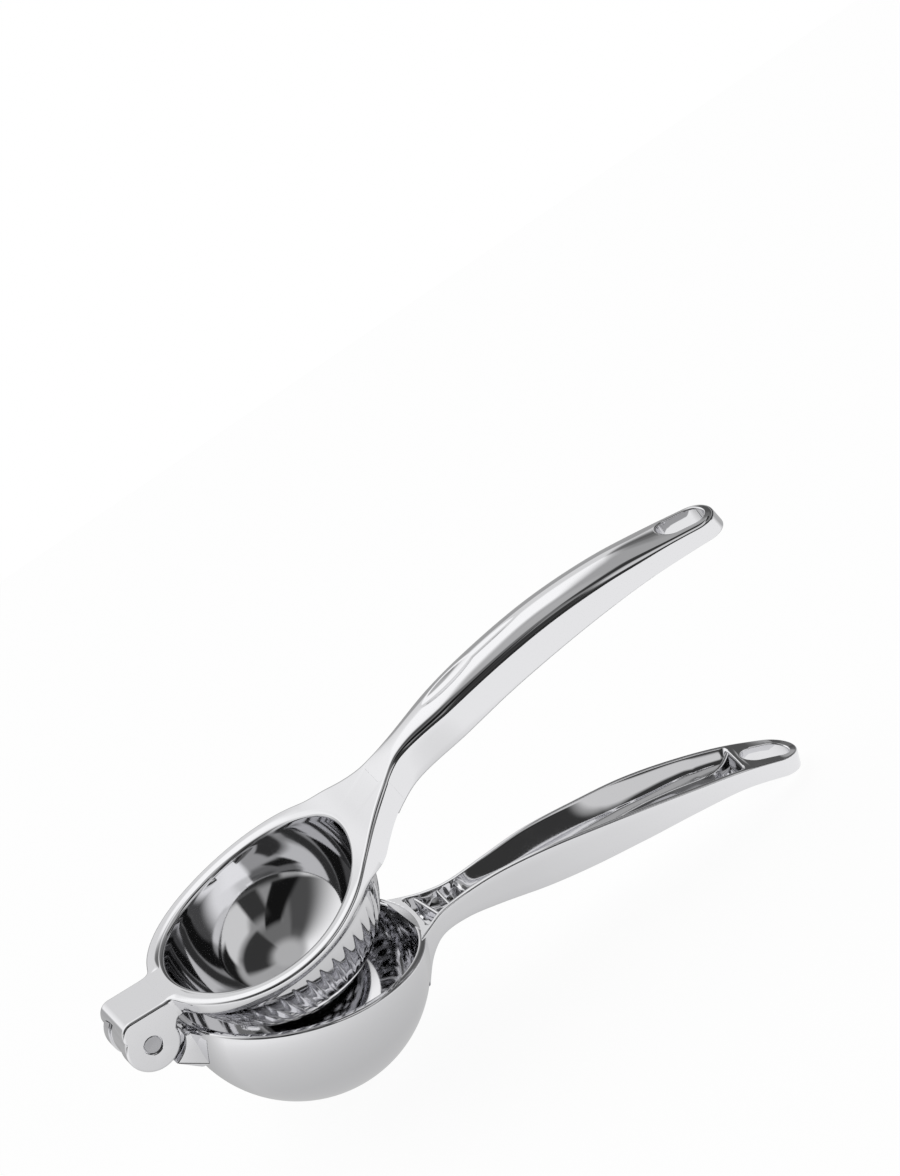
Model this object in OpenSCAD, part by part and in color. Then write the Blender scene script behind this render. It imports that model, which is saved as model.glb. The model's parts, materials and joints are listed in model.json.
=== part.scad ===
// Hinged lemon squeezer: two cast levers on one cross pin.
// Millimetres. X runs from the hinge to the handle ends, Y along the hinge pin, Z up.
// The levers are drawn about the hinge axis with the bowl's rim level, then the whole tool is
// tipped until the bowl and the end of its handle stand on Z = 0.

/* [Hinge] */
// Radius of the hinge pin
pin_r = 2.45; // [2:0.05:3]
// Radial running clearance of the pin in the knuckle
pin_run_gap = 0.06; // [0.01:0.01:0.1]
// Radial clearance of the pin in the ears that grip it
pin_grip_gap = 0.02; // [0.01:0.01:0.05]
// How far each pin end sits below the face of its ear
pin_recess = 0.4; // [0.2:0.1:1]
// Radius of the shallow counterbore round each pin end
pin_counterbore_r = 2.75; // [2.6:0.05:3.5]
// Depth of that counterbore
pin_counterbore_depth = 0.6; // [0.4:0.1:1.2]
// Width across both ears
hinge_w = 16.3; // [14:0.1:22]
// Thickness of one ear
ear_t = 4; // [3:0.1:5]
// Outer radius of an ear
ear_r = 7.6; // [6.5:0.1:9]
// Gap between the knuckle and each ear
knuckle_side_gap = 0.25; // [0.1:0.05:0.6]
// Outer radius of the knuckle
knuckle_r = 7.1; // [5.5:0.1:7.4]
// Gap between an ear's rim and the bowl arm that is hollowed round it
ear_end_gap = 1.2; // [0.6:0.1:2]
// Gap between the knuckle's rim and the press arm over it
knuckle_end_gap = 0.6; // [0.3:0.1:1.5]
// Height of the press arm's hump above the hinge axis
hump_z = 9.7; // [9.4:0.1:11]
// Distance of the lip of the press arm's hood behind the hinge axis
hood_back = 5.5; // [5.2:0.1:6.6]
// Height of that lip above the hinge axis at its two sides
hood_lip_z = 5.7; // [5:0.1:6.2]
// Rise of the lip between its sides
hood_arch = 2.4; // [1:0.1:2.6]
// Height of the press arm where it meets the ring
press_arm_z = 6; // [5:0.1:7]
// Depth of the bowl arm's top below the hinge axis
bowl_arm_top = 0.7; // [0.4:0.1:1.2]
// Depth of the bowl arm's underside below the hinge axis
bowl_arm_depth = 11.5; // [10:0.1:12.5]

/* [Bowl] */
// Outer radius of the bowl
bowl_r = 34; // [32:0.1:40]
// Distance from the hinge axis to the nearest edge of the bowl
bowl_reach = 9.8; // [9.6:0.1:12]
// Wall of the bowl
bowl_wall = 2.2; // [1.6:0.1:3]
// Height of the rim above the hinge axis
rim_z = 0.6; // [0.3:0.1:1]
// Height of the bowl's centre above the hinge axis
bowl_centre_z = 0; // [-1:0.1:0.2]
// Rounding of the rim
rim_round = 0.6; // [0.2:0.1:1]
// Distance from the middle of the arm at which the webs beside it run out on the bowl
gusset_w = 12.6; // [11:0.1:14]
// Depth of those webs
gusset_depth = 10.8; // [6:0.1:11]
// Radius of a drain hole
drain_r = 1.7; // [1:0.1:2.2]
// Distance between rings of drain holes
drain_pitch = 6.2; // [5:0.1:7]
// Number of rings of drain holes round the middle one
drain_rings = 2; // [1:1:3]

/* [Press cup] */
// How far the edge of the ring round the cup lies inside the edge of the bowl
ring_inset = 0.3; // [0:0.05:0.6]
// Width of the ring from its edge to the mouth of the cup
ring_band = 4.9; // [4:0.1:6]
// Thickness of the cup at its lowest point
cup_floor = 1.2; // [1:0.1:2]
// Height of the middle of the ring's top above the hinge axis
ring_top_z = 3.2; // [2:0.1:5]
// Radius of the long hollow curve of the ring's top
ring_sweep_r = 125; // [100:1:200]
// Gap between the crests of the reeded pusher's radius and that of the inside of the bowl
pusher_gap = 0.6; // [0.4:0.05:1]
// Height of the pusher's centre above the middle of the ring's top
pusher_raise = 2.2; // [1:0.1:3]
// Height above the hinge axis at which the ring's skirt meets the round pusher
skirt_end_z = 0.4; // [-0.5:0.1:0.8]
// Number of reeds round the pusher
reeds = 44; // [40:2:48]
// Radius of one reed
reed_r = 2.35; // [2.2:0.05:2.8]
// Depth to which the valleys between reeds may reach
reed_depth = 1.15; // [0.6:0.05:1.3]
// Angle below the horizontal at which the valleys are deepest
reed_slope = 28.5; // [26:0.5:33]

/* [Handles] */
// Length of the press handle beyond the ring
press_handle_l = 119.5; // [117:0.5:120]
// Length of the bowl handle beyond the bowl
bowl_handle_l = 108.5; // [106:0.5:109]
// Wall of the hollow handles
handle_wall = 1.8; // [1.4:0.1:2.4]
// Width of a hanging slot
slot_w = 7.8; // [6:0.1:8.4]
// Length of a hanging slot
slot_l = 12.4; // [10:0.1:14]
// Material between a hanging slot and the end of its handle
slot_margin = 2.2; // [1.8:0.1:3]
// Material between a hanging slot and the hollow of its handle
slot_bridge = 1.8; // [1.5:0.1:3]
// Thickness of the webs in the bowl handle
web_t = 1.2; // [1:0.1:2]
// How far the webs end below the top of the bowl handle
web_drop = 0.5; // [0.2:0.1:1.5]
// Distance of the first web from the bowl
web_first = 3.6; // [3:0.1:5]
// Distance between the two webs near the bowl
web_pitch = 4.6; // [4:0.1:6]
// Length of the thumb rest in the back of the press handle
thumb_l = 21; // [14:0.1:26]
// Radius across the thumb rest's hollow
thumb_r = 4.4; // [3.5:0.1:6]
// Depth of the thumb rest
thumb_depth = 1.1; // [0.5:0.1:1.3]
// Distance of the middle of the thumb rest from the ring
thumb_x = 37.2; // [30:0.1:60]

/* [Resting place] */
// Angle at which the press lever stands open
open_angle = 22.6; // [3:0.1:60]

/* [Hidden] */
$fn = 96;
far = 300;

// Positions that several pieces share
hinge_half = hinge_w / 2;
ear_inner = hinge_half - ear_t;
knuckle_half = ear_inner - knuckle_side_gap;
arm_gap_r = ear_r + ear_end_gap;
knuckle_slot_r = knuckle_r + knuckle_end_gap;
arm_under_z = rim_z + 0.3;
bowl_x = bowl_reach + bowl_r;
bowl_in_r = bowl_r - bowl_wall;
ring_r = bowl_r - ring_inset;
cup_r = ring_r - ring_band;
pusher_r = bowl_in_r - pusher_gap;
cup_depth = pusher_r - pusher_raise - cup_floor;
handle_x = bowl_x + bowl_r;
grip_x = bowl_x + ring_r;
sweep_z = ring_top_z + ring_sweep_r;
cup_drop = (cup_r * cup_r - cup_depth * cup_depth) / (2 * cup_depth);

// Shapes of the handles: [distance from the ring or the bowl, value]
press_top = [[-9, 5.6], [-3, 7.4], [2, 8.6], [8.5, 10.3], [18, 13.1], [35, 14.6], [53, 14.9], [69, 14],
    [85, 11.5], [100, 7.8], [115, 3.2], [120, 1.6]];
press_bottom = [[-9, -2.8], [-2, -0.9], [8, 1.6], [21, 3.3], [45, 5], [62, 4.9], [79, 3.8], [95, 1.8],
    [110, -1.4], [120, -4]];
press_half_w = [[-9, 22], [-3, 17.5], [2, 13], [8.5, 8.4], [18, 4.9], [35, 6.8], [53, 7.2], [72, 7.2],
    [92, 6.8], [112, 6], [120, 5.7]];
press_crown = [[-9, 0], [8, 0], [26, 1.3], [45, 2.3], [90, 2.3], [105, 1], [120, 0.3]];
bowl_top = [[-6, 0.6], [0, 1.6], [5, 2.6], [10, 3.4], [22, 6.1], [35, 8.1], [50, 8.8], [64, 9], [78, 8.3],
    [92, 6.9], [105, 4.3], [109, 3.4]];
bowl_bottom = [[-6, -14], [-2, -7.4], [2.4, -4.3], [11.7, -3.2], [20, -3], [33, -2.7], [47, -1.7], [61, 0],
    [76, 1.4], [91, 1.5], [105, -1], [109, -1.9]];
bowl_half_w = [[-6, 15], [0, 10.3], [5, 7], [12, 5.3], [22, 5.7], [35, 7.6], [50, 9], [64, 10], [78, 9.7],
    [92, 8.3], [105, 6.5], [109, 6]];

// Index of the stretch of a shape list that holds x
function stretch(list, x, i = 0) = i >= len(list) - 2 || x < list[i + 1][0] ? i : stretch(list, x, i + 1);
// Slope of a shape list at its point i
function slope(list, i) = let (a = max(i - 1, 0), b = min(i + 1, len(list) - 1))
    (list[b][1] - list[a][1]) / (list[b][0] - list[a][0]);
// Smooth curve through a shape list: a cubic with the slopes above
function smooth(list, x) = let (
        i = stretch(list, x), h = list[i + 1][0] - list[i][0], t = max(0, min(1, (x - list[i][0]) / h)),
        t2 = t * t, t3 = t2 * t)
    (2 * t3 - 3 * t2 + 1) * list[i][1] + (t3 - 2 * t2 + t) * h * slope(list, i)
    + (3 * t2 - 2 * t3) * list[i + 1][1] + (t3 - t2) * h * slope(list, i + 1);
// Share of the full width left at distance x when the last r of a length l is rounded off
function round_end(x, l, r) = x <= l - r ? 1 : sqrt(max(0, 1 - pow((x - l + r) / (r + 0.02), 2)));
// Stations along a handle: even steps, then closer ones round the end
function stations(start, l, r, steps = 22, end_steps = 7) = concat(
    [for (i = [0:steps - 1]) start + (l - r - start) * i / steps],
    [for (i = [0:end_steps]) l - r + r * sin(90 * i / end_steps)]);

// Closed skin through rings of points, each ring a list of the same length
module loft(rings) {
    n = len(rings[0]);
    m = len(rings);
    walls = [for (j = [0:m - 2]) for (i = [0:n - 1]) let (k = (i + 1) % n)
        each [[j * n + i, (j + 1) * n + k, j * n + k], [j * n + i, (j + 1) * n + i, (j + 1) * n + k]]];
    ends = [[for (i = [0:n - 1]) i], [for (i = [0:n - 1]) m * n - 1 - i]];
    polyhedron([for (r = rings) each r], concat(walls, ends));
}

// Section of a handle: flat sides with small lower corners and a crowned back
function section(x, half, bottom, top, crown) = let (corner = min(0.8, half / 2)) concat(
    [[x, half, bottom + corner]],
    [for (i = [0:8]) let (s = cos(180 * i / 8)) [x, half * s, top + crown * (1 - s * s)]],
    [[x, -half, bottom + corner], [x, corner - half, bottom], [x, half - corner, bottom]]);

// Section of a hollow: flat sides, and a floor with rounded corners
function hollow(x, half, floor_z, mouth_z, sense) = let (
        r = half * 0.55, rise = mouth_z > floor_z ? r : -r,
        side = [for (i = [0:6]) [half - r + r * cos(15 * i), floor_z + rise * (1 - sin(15 * i))]])
    concat(
        [[x, half * sense, mouth_z]],
        [for (p = side) [x, p[0] * sense, p[1]]],
        [for (i = [6:-1:0]) [x, -side[i][0] * sense, side[i][1]]],
        [[x, -half * sense, mouth_z]]);

// Rod along Y about a point of the XZ plane
module cross_rod(r, w) {
    rotate([90, 0, 0]) cylinder(r = r, h = w, center = true);
}

// Plate of width w along Y from a profile drawn in X and Z
module cross_plate(w) {
    rotate([90, 0, 0]) linear_extrude(height = w, center = true) children();
}

// Slot with round ends along X, cut straight down
module slot_hole(length, width, depth) {
    linear_extrude(height = depth, center = true) union() {
        square([length - width, width], center = true);
        for (side = [-1, 1]) translate([side * (length - width) / 2, 0]) circle(d = width);
    }
}

// Tips the levers from the working frame into the resting place: on Z = 0, with the origin half-way
// between the back of the ears and the further handle end
module at_rest() {
    span = bowl_handle_l + bowl_r;
    drop = bowl_centre_z - smooth(bowl_bottom, bowl_handle_l);
    tilt = asin(bowl_r / norm([span, drop])) - atan2(drop, span);
    lift = bowl_r - bowl_centre_z * cos(tilt) + bowl_x * sin(tilt);
    lean = open_angle - tilt;
    press_end = (grip_x + press_handle_l) * cos(lean) - smooth(press_bottom, press_handle_l) * sin(lean);
    bowl_end = (handle_x + bowl_handle_l) * cos(tilt) + smooth(bowl_top, bowl_handle_l) * sin(tilt);
    back = max(ear_r, hood_back * cos(lean) + (hood_lip_z + 0.6) * sin(lean));
    translate([(back - max(press_end, bowl_end)) / 2, 0, lift]) rotate([0, tilt, 0]) children();
}

// Half-round bowl with a rounded rim
module bowl_shell() {
    translate([bowl_x, 0, 0]) rotate_extrude() difference() {
        union() {
            intersection() {
                translate([0, bowl_centre_z]) circle(r = bowl_r);
                translate([0, -far]) square([far, far + rim_z - rim_round]);
            }
            translate([bowl_in_r, rim_z - rim_round - 1]) square([bowl_wall - rim_round, 1 + rim_round]);
            translate([bowl_r - rim_round, rim_z - rim_round]) circle(r = rim_round, $fn = 32);
        }
        translate([0, bowl_centre_z]) circle(r = bowl_in_r);
        translate([-far, -far]) square([far, 2 * far]);
    }
}

// Drain holes: one in the middle and rings of six times the ring's number
module drain_holes() {
    translate([bowl_x, 0, bowl_centre_z - bowl_r - 1]) {
        cylinder(r = drain_r, h = bowl_r);
        for (ring = [1:drain_rings]) for (i = [0:6 * ring - 1])
            rotate([0, 0, 60 * i / ring]) translate([ring * drain_pitch, 0, 0])
                cylinder(r = drain_r, h = bowl_r);
    }
}

// Webs from the sides of the arm to the bowl, flat on top and drawn to a point below
module gussets() {
    end_r = bowl_r - 0.1;
    side_x = bowl_x - sqrt(pow(end_r, 2) - pow(gusset_w, 2));
    low_x = bowl_x - sqrt(pow(end_r, 2) - pow(hinge_half, 2) - pow(gusset_depth, 2));
    polyhedron(
        [[bowl_reach, -hinge_half, -bowl_arm_top], [bowl_reach, hinge_half, -bowl_arm_top],
            [side_x, -gusset_w, -bowl_arm_top], [side_x, gusset_w, -bowl_arm_top],
            [low_x, -hinge_half, -gusset_depth], [low_x, hinge_half, -gusset_depth]],
        [[0, 1, 3, 2], [2, 3, 5, 4], [0, 4, 5, 1], [0, 2, 4], [1, 5, 3]]);
}

// Arm from the bowl to the hinge: full width, hollowed round the ears, with a tongue between them
module bowl_arm() {
    root_x = bowl_x - bowl_in_r;
    difference() {
        union() {
            difference() {
                cross_plate(hinge_w) polygon([[0, -bowl_arm_top], [root_x, -bowl_arm_top],
                    [root_x + 4, -bowl_arm_depth - 0.5], [root_x - 1, -bowl_arm_depth],
                    [2, -arm_gap_r * 0.7]]);
                cross_rod(arm_gap_r, far);
            }
            cross_plate(2 * knuckle_half) union() {
                circle(r = knuckle_r);
                polygon([[0, knuckle_r * 0.6], [root_x, -bowl_arm_top], [root_x, 0.5 - bowl_arm_depth],
                    [-knuckle_r * 0.4, -knuckle_r * 0.9]]);
            }
            gussets();
        }
        translate([bowl_x, 0, bowl_centre_z]) sphere(r = bowl_in_r + bowl_wall / 2);
    }
}

// Wall across the hollow of the bowl handle, turned about Z by an angle
module web(x, angle) {
    top = smooth(bowl_top, x) - web_drop;
    translate([x, 0, top - far / 2]) rotate([0, 0, angle]) cube([web_t, far, far], center = true);
}

// Handle of the bowl lever: a channel open at the top, solid round its hanging slot
module bowl_handle() {
    end_r = 6.5;
    hollow_l = bowl_handle_l - slot_l - slot_margin - slot_bridge;
    marks = stations(-5, bowl_handle_l, end_r);
    hollow_marks = [for (i = [0:18]) 1 + (hollow_l - 1) * i / 18];
    translate([handle_x, 0, 0]) difference() {
        loft([for (x = marks) let (share = round_end(x, bowl_handle_l, end_r))
            section(x, smooth(bowl_half_w, x) * share + 0.01, smooth(bowl_bottom, x), smooth(bowl_top, x),
                0.01)]);
        difference() {
            loft([for (x = hollow_marks) hollow(x, smooth(bowl_half_w, x) - handle_wall,
                smooth(bowl_bottom, x) + handle_wall, smooth(bowl_top, x) + 5, -1)]);
            web(web_first, 8);
            web(web_first + web_pitch, 0);
            web(hollow_l - 5, -35);
        }
        translate([bowl_handle_l - slot_margin - slot_l / 2, 0, 0]) slot_hole(slot_l, slot_w, 60);
    }
}

module bowl_lever() {
    color("silver") at_rest() difference() {
        union() {
            bowl_shell();
            bowl_arm();
            difference() {
                bowl_handle();
                translate([bowl_x, 0, bowl_centre_z]) sphere(r = bowl_in_r + bowl_wall / 2);
            }
        }
        drain_holes();
        cross_rod(pin_r + pin_run_gap, far);
    }
}

// Space above the ring's top: everything over the long hollow curve
module above_sweep() {
    translate([bowl_x, 0, sweep_z]) cross_rod(ring_sweep_r, far);
}

// Solid of the ring, its skirt and the round pusher
module pusher_body() {
    centre_z = ring_top_z + pusher_raise;
    crest_r = sqrt(pusher_r * pusher_r - pow(centre_z - skirt_end_z, 2));
    translate([bowl_x, 0, 0]) rotate_extrude() intersection() {
        union() {
            intersection() {
                translate([0, centre_z]) circle(r = pusher_r);
                translate([0, -far]) square([far, far + skirt_end_z]);
            }
            polygon([[0, skirt_end_z - 1], [crest_r - 1, skirt_end_z - 1], [crest_r, skirt_end_z],
                [ring_r, ring_top_z], [ring_r, ring_top_z + 8], [0, ring_top_z + 8]]);
        }
        translate([0, -far]) square([far, 2 * far]);
    }
}

// Cutter for one valley: the space between two neighbouring reeds. It runs straight along the
// pusher, so it starts and ends in a point where the round pusher falls away from it
module valley() {
    pitch = 2 * PI * pusher_r * cos(reed_slope) / reeds - 0.05;
    half_l = sqrt(pow(pusher_r, 2) - pow(pusher_r - reed_depth, 2));
    translate([0, 0, ring_top_z + pusher_raise]) rotate([0, reed_slope, 0]) translate([pusher_r, 0, 0])
        linear_extrude(height = 2 * half_l, center = true) difference() {
            translate([-reed_depth, -pitch / 2]) square([reed_depth + 2, pitch]);
            for (side = [-1, 1]) translate([-reed_r, side * pitch / 2]) circle(r = reed_r, $fn = 48);
        }
}

module pusher() {
    difference() {
        pusher_body();
        for (i = [0:reeds - 1])
            translate([bowl_x, 0, 0]) rotate([0, 0, 360 * (i + 0.5) / reeds]) valley();
    }
}

// Inside of the press cup, deepest in the middle
module cup_hollow() {
    translate([bowl_x, 0, ring_top_z + cup_drop]) sphere(r = cup_depth + cup_drop);
    translate([bowl_x, 0, ring_top_z]) cylinder(r = cup_r, h = far);
}

// Arm from the ring to the hood over the knuckle, whose lip is arched from side to side
module press_arm_plate() {
    ring_x = bowl_x - ring_r;
    cup_x = bowl_x - cup_r;
    arch_r = (pow(hinge_half, 2) + pow(hood_arch, 2)) / (2 * hood_arch);
    difference() {
        cross_plate(hinge_w) polygon([[-hood_back, 0], [-hood_back, hood_lip_z + 0.6],
            [0.8 - hood_back, hump_z - 1.7], [2.2 - hood_back, hump_z - 0.5], [4.1 - hood_back, hump_z],
            [ring_x + 1.9, press_arm_z + 0.6], [cup_x + 9, press_arm_z], [cup_x + 3, arm_under_z],
            [ear_r + 1.6, arm_under_z], [ear_r - 0.5, -1.6], [0, 0]]);
        translate([-far - 1, 0, hood_lip_z + hood_arch - arch_r]) rotate([0, 90, 0])
            cylinder(r = arch_r, h = far);
    }
}

// Arm and ears, slotted from below and from the end for the knuckle
module press_arm() {
    difference() {
        union() {
            cross_rod(ear_r, hinge_w);
            press_arm_plate();
        }
        cross_rod(knuckle_slot_r, 2 * ear_inner);
        cross_plate(2 * ear_inner) polygon([[-far, -far], [far, -far], [far, arm_under_z], [0, arm_under_z],
            [0, hood_lip_z], [-far, hood_lip_z]]);
    }
}

// Thumb rest: a spindle along X let into the crowned back
module thumb_rest() {
    spindle_r = (pow(thumb_l / 2, 2) + pow(thumb_depth, 2)) / (2 * thumb_depth);
    back_z = smooth(press_top, thumb_x) + smooth(press_crown, thumb_x);
    translate([thumb_x, 0, back_z + thumb_r - thumb_depth]) rotate([0, 90, 0]) rotate_extrude()
        intersection() {
            translate([thumb_r - spindle_r, 0]) circle(r = spindle_r, $fn = 360);
            translate([0, -thumb_l]) square([far, 2 * thumb_l]);
        }
}

// Handle of the press lever: a crowned back over a hollow underside
module press_handle() {
    end_r = 6;
    hollow_l = press_handle_l - slot_l - slot_margin - slot_bridge;
    marks = stations(-9, press_handle_l, end_r);
    hollow_marks = [for (i = [0:18]) 12 + (hollow_l - 12) * i / 18];
    translate([grip_x, 0, 0]) difference() {
        loft([for (x = marks) let (share = round_end(x, press_handle_l, end_r))
            section(x, smooth(press_half_w, x) * share + 0.01, smooth(press_bottom, x), smooth(press_top, x),
                smooth(press_crown, x) * share + 0.01)]);
        loft([for (x = hollow_marks) let (roof_z = smooth(press_top, x) + smooth(press_crown, x) / 2)
            hollow(x, smooth(press_half_w, x) - handle_wall, roof_z - handle_wall,
                smooth(press_bottom, x) - 5, 1)]);
        translate([press_handle_l - slot_margin - slot_l / 2, 0, 0]) slot_hole(slot_l, slot_w, 80);
        thumb_rest();
    }
}

module press_lever() {
    color("silver") at_rest() rotate([0, -open_angle, 0]) difference() {
        union() {
            difference() {
                pusher();
                above_sweep();
            }
            press_arm();
            press_handle();
        }
        cup_hollow();
        cross_rod(pin_r + pin_grip_gap, far);
        for (side = [-1, 1]) translate([0, side * hinge_half, 0])
            cross_rod(pin_counterbore_r, 2 * pin_counterbore_depth);
    }
}

module hinge_pin() {
    color("gainsboro") at_rest() cross_rod(pin_r, hinge_w - 2 * pin_recess);
}

bowl_lever();
press_lever();
hinge_pin();
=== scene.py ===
import json
import logging
import math
from collections.abc import Callable, Sequence
from dataclasses import dataclass, field
from enum import Enum

import bmesh
import bpy
import numpy as np
from mathutils import Matrix, Vector


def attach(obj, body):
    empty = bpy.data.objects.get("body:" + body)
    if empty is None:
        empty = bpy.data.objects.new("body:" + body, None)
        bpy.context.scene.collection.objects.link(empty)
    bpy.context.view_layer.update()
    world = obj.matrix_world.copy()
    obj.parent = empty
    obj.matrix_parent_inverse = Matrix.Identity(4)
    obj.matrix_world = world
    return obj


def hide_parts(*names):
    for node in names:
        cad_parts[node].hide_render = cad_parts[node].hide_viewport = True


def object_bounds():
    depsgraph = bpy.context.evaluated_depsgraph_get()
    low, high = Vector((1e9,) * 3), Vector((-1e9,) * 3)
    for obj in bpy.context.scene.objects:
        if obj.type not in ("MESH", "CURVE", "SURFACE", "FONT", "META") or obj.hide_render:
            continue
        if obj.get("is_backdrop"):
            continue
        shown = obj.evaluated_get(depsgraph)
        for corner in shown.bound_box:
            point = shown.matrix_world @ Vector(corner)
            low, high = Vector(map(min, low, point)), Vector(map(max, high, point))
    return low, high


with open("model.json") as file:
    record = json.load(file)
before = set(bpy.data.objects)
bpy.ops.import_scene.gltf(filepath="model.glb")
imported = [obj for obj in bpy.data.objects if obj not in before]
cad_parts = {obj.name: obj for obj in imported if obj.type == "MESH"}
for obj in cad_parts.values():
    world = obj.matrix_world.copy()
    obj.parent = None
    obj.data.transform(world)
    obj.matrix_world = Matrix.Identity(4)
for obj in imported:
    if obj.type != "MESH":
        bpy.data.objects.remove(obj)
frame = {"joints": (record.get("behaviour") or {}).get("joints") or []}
PACKED_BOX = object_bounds()

Grid = np.ndarray
Loop = np.ndarray
Layers = list[tuple[Loop, float]]

LOG = logging.getLogger("lemon_squeezer")
MM = 0.001
FULL_TURN = 2 * math.pi
# A lathe profile starts this near its axis, in millimetres, and the weld closes the ring to a point.
AXIS_R = 1e-4
# Angle at which the profile of a round bottom starts, just short of its pole.
POLE_DEG = -89.99


class Lever(Enum):
    """The two castings, by the CAD body and node that each belongs to."""

    BOWL = ("bowl_side", "bowl_lever")
    PRESS = ("press_side", "press_lever")

    @property
    def body(self) -> str:
        """Name of the CAD body that the casting moves with."""
        return self.value[0]

    @property
    def node(self) -> str:
        """Name of the CAD node that the casting stands for."""
        return self.value[1]


# ---------------------------------------------------------------- curves


def ramp(low: float, high: float, x: np.ndarray) -> np.ndarray:
    """Smooth step from 0 at low to 1 at high: 3t^2 - 2t^3 of the clipped share t.

    Args:
        low: where the step starts.
        high: where it ends.
        x: values to step.

    Returns:
        The step at each value.
    """
    t = np.clip((np.asarray(x, float) - low) / (high - low), 0.0, 1.0)
    return t * t * (3 - 2 * t)


def soft_min(a: np.ndarray, b: np.ndarray, blend: float) -> np.ndarray:
    """Lower of two heights with a rounded change: the mean less half the softened difference.

    Args:
        a: first heights.
        b: second heights.
        blend: width of the rounding.

    Returns:
        The blended lower heights.
    """
    return 0.5 * (a + b - np.sqrt((a - b) ** 2 + blend * blend))


@dataclass(frozen=True)
class Curve:
    """Smooth line through points: on each stretch a cubic with the slope of the two neighbours."""

    points: tuple[tuple[float, float], ...]

    def at(self, x: np.ndarray) -> np.ndarray:
        """Value of the curve at x.

        Args:
            x: distances along the handle in millimetres.

        Returns:
            The curve's value at each distance.
        """
        table = np.array(self.points, float)
        across, value = table[:, 0], table[:, 1]
        before = np.maximum(np.arange(len(table)) - 1, 0)
        after = np.minimum(np.arange(len(table)) + 1, len(table) - 1)
        slope = (value[after] - value[before]) / (across[after] - across[before])
        x = np.asarray(x, float)
        i = np.clip(np.searchsorted(across, x, side="right") - 1, 0, len(table) - 2)
        width = across[i + 1] - across[i]
        t = np.clip((x - across[i]) / width, 0.0, 1.0)
        t2, t3 = t * t, t * t * t
        return (
            (2 * t3 - 3 * t2 + 1) * value[i]
            + (t3 - 2 * t2 + t) * width * slope[i]
            + (3 * t2 - 2 * t3) * value[i + 1]
            + (t3 - t2) * width * slope[i + 1]
        )


def resample(path: Loop, spacing: float) -> Loop:
    """Points at even distances along a line of straight pieces.

    Args:
        path: corners of the line, one row each.
        spacing: distance between the new points.

    Returns:
        The new points, first and last corner included.
    """
    steps = np.linalg.norm(np.diff(path, axis=0), axis=1)
    run = np.concatenate([[0.0], np.cumsum(steps)])
    marks = np.linspace(0.0, run[-1], max(2, int(run[-1] / spacing) + 1))
    return np.stack([np.interp(marks, run, path[:, k]) for k in range(path.shape[1])], axis=1)


def soften(path: Loop, sigma: float, spacing: float, closed: bool = False) -> Loop:
    """Line with its corners rounded: each point becomes the bell-weighted mean of its neighbours.

    Args:
        path: evenly spaced points of the line.
        sigma: spread of the bell in millimetres.
        spacing: distance between the points.
        closed: whether the last point joins the first.

    Returns:
        The rounded line; an open one keeps its two ends where they were.
    """
    reach = int(4 * sigma / spacing)
    bell = np.exp(-0.5 * (np.arange(-reach, reach + 1) * spacing / sigma) ** 2)
    bell /= bell.sum()
    if closed:
        first, last = path[-reach:], path[:reach]
    else:
        first, last = 2 * path[0] - path[reach:0:-1], 2 * path[-1] - path[-2 : -reach - 2 : -1]
    padded = np.concatenate([first, path, last])
    return np.stack([np.convolve(padded[:, k], bell, mode="valid") for k in range(2)], axis=1)


def right_normals(path: Loop, closed: bool) -> Loop:
    """Unit normals on the right-hand side of a line in the plane: the tangent turned clockwise.

    Args:
        path: points of the line.
        closed: whether the last point joins the first.

    Returns:
        One normal for each point.
    """
    if closed:
        tangent = np.roll(path, -1, axis=0) - np.roll(path, 1, axis=0)
    else:
        tangent = np.gradient(path, axis=0)
    tangent = tangent / np.maximum(np.linalg.norm(tangent, axis=1, keepdims=True), 1e-9)
    return np.stack([tangent[:, 1], -tangent[:, 0]], axis=1)


def shrink(loop: Loop, amount: float) -> Loop:
    """Closed loop moved inwards, square to itself, whichever way round it runs.

    Args:
        loop: points of the closed loop.
        amount: how far each point moves.

    Returns:
        The moved points.
    """
    ahead = np.roll(loop, -1, axis=0)
    turning = (loop[:, 0] * ahead[:, 1] - loop[:, 1] * ahead[:, 0]).sum()
    return loop - right_normals(loop, closed=True) * amount * math.copysign(1.0, turning)


def cubic(knots: Sequence[np.ndarray], t: np.ndarray | float) -> np.ndarray:
    """Bezier curve: the mean of four knots, weighted by the four terms of ((1 - t) + t)^3.

    Args:
        knots: start, two pulls and end.
        t: shares of the way, or one share.

    Returns:
        The curve's point at each share.
    """
    shares = ((1 - t) ** 3, 3 * t * (1 - t) ** 2, 3 * t * t * (1 - t), t**3)
    return sum(knot * share for knot, share in zip(knots, shares))


def stack3(x: np.ndarray, y: np.ndarray, z: np.ndarray) -> Grid:
    """Points from their three coordinates, spread to one common shape."""
    return np.stack(np.broadcast_arrays(x, y, z), axis=-1).astype(float)


def raised(plan: Loop, shift: float, level: np.ndarray) -> Grid:
    """Points of a plan moved along X, each at its own height."""
    return stack3(plan[:, 0] + shift, plan[:, 1], level)


# ---------------------------------------------------------------- meshes


@dataclass(frozen=True)
class Stance:
    """Where a lever stands: its own millimetres are turned about the hinge pin and moved to it."""

    turn_deg: float
    hinge: tuple[float, float, float]

    def place(self, points: Grid) -> Grid:
        """Turns lever millimetres into metres of the frame: a turn about Y, then a shift.

        Args:
            points: points of the lever, the last axis being X, Y and Z.

        Returns:
            The same points in the frame.
        """
        turn = math.radians(self.turn_deg)
        across = points[..., 0] * math.cos(turn) + points[..., 2] * math.sin(turn)
        up = points[..., 2] * math.cos(turn) - points[..., 0] * math.sin(turn)
        return stack3(across, points[..., 1], up) * MM + np.array(self.hinge)


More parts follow.
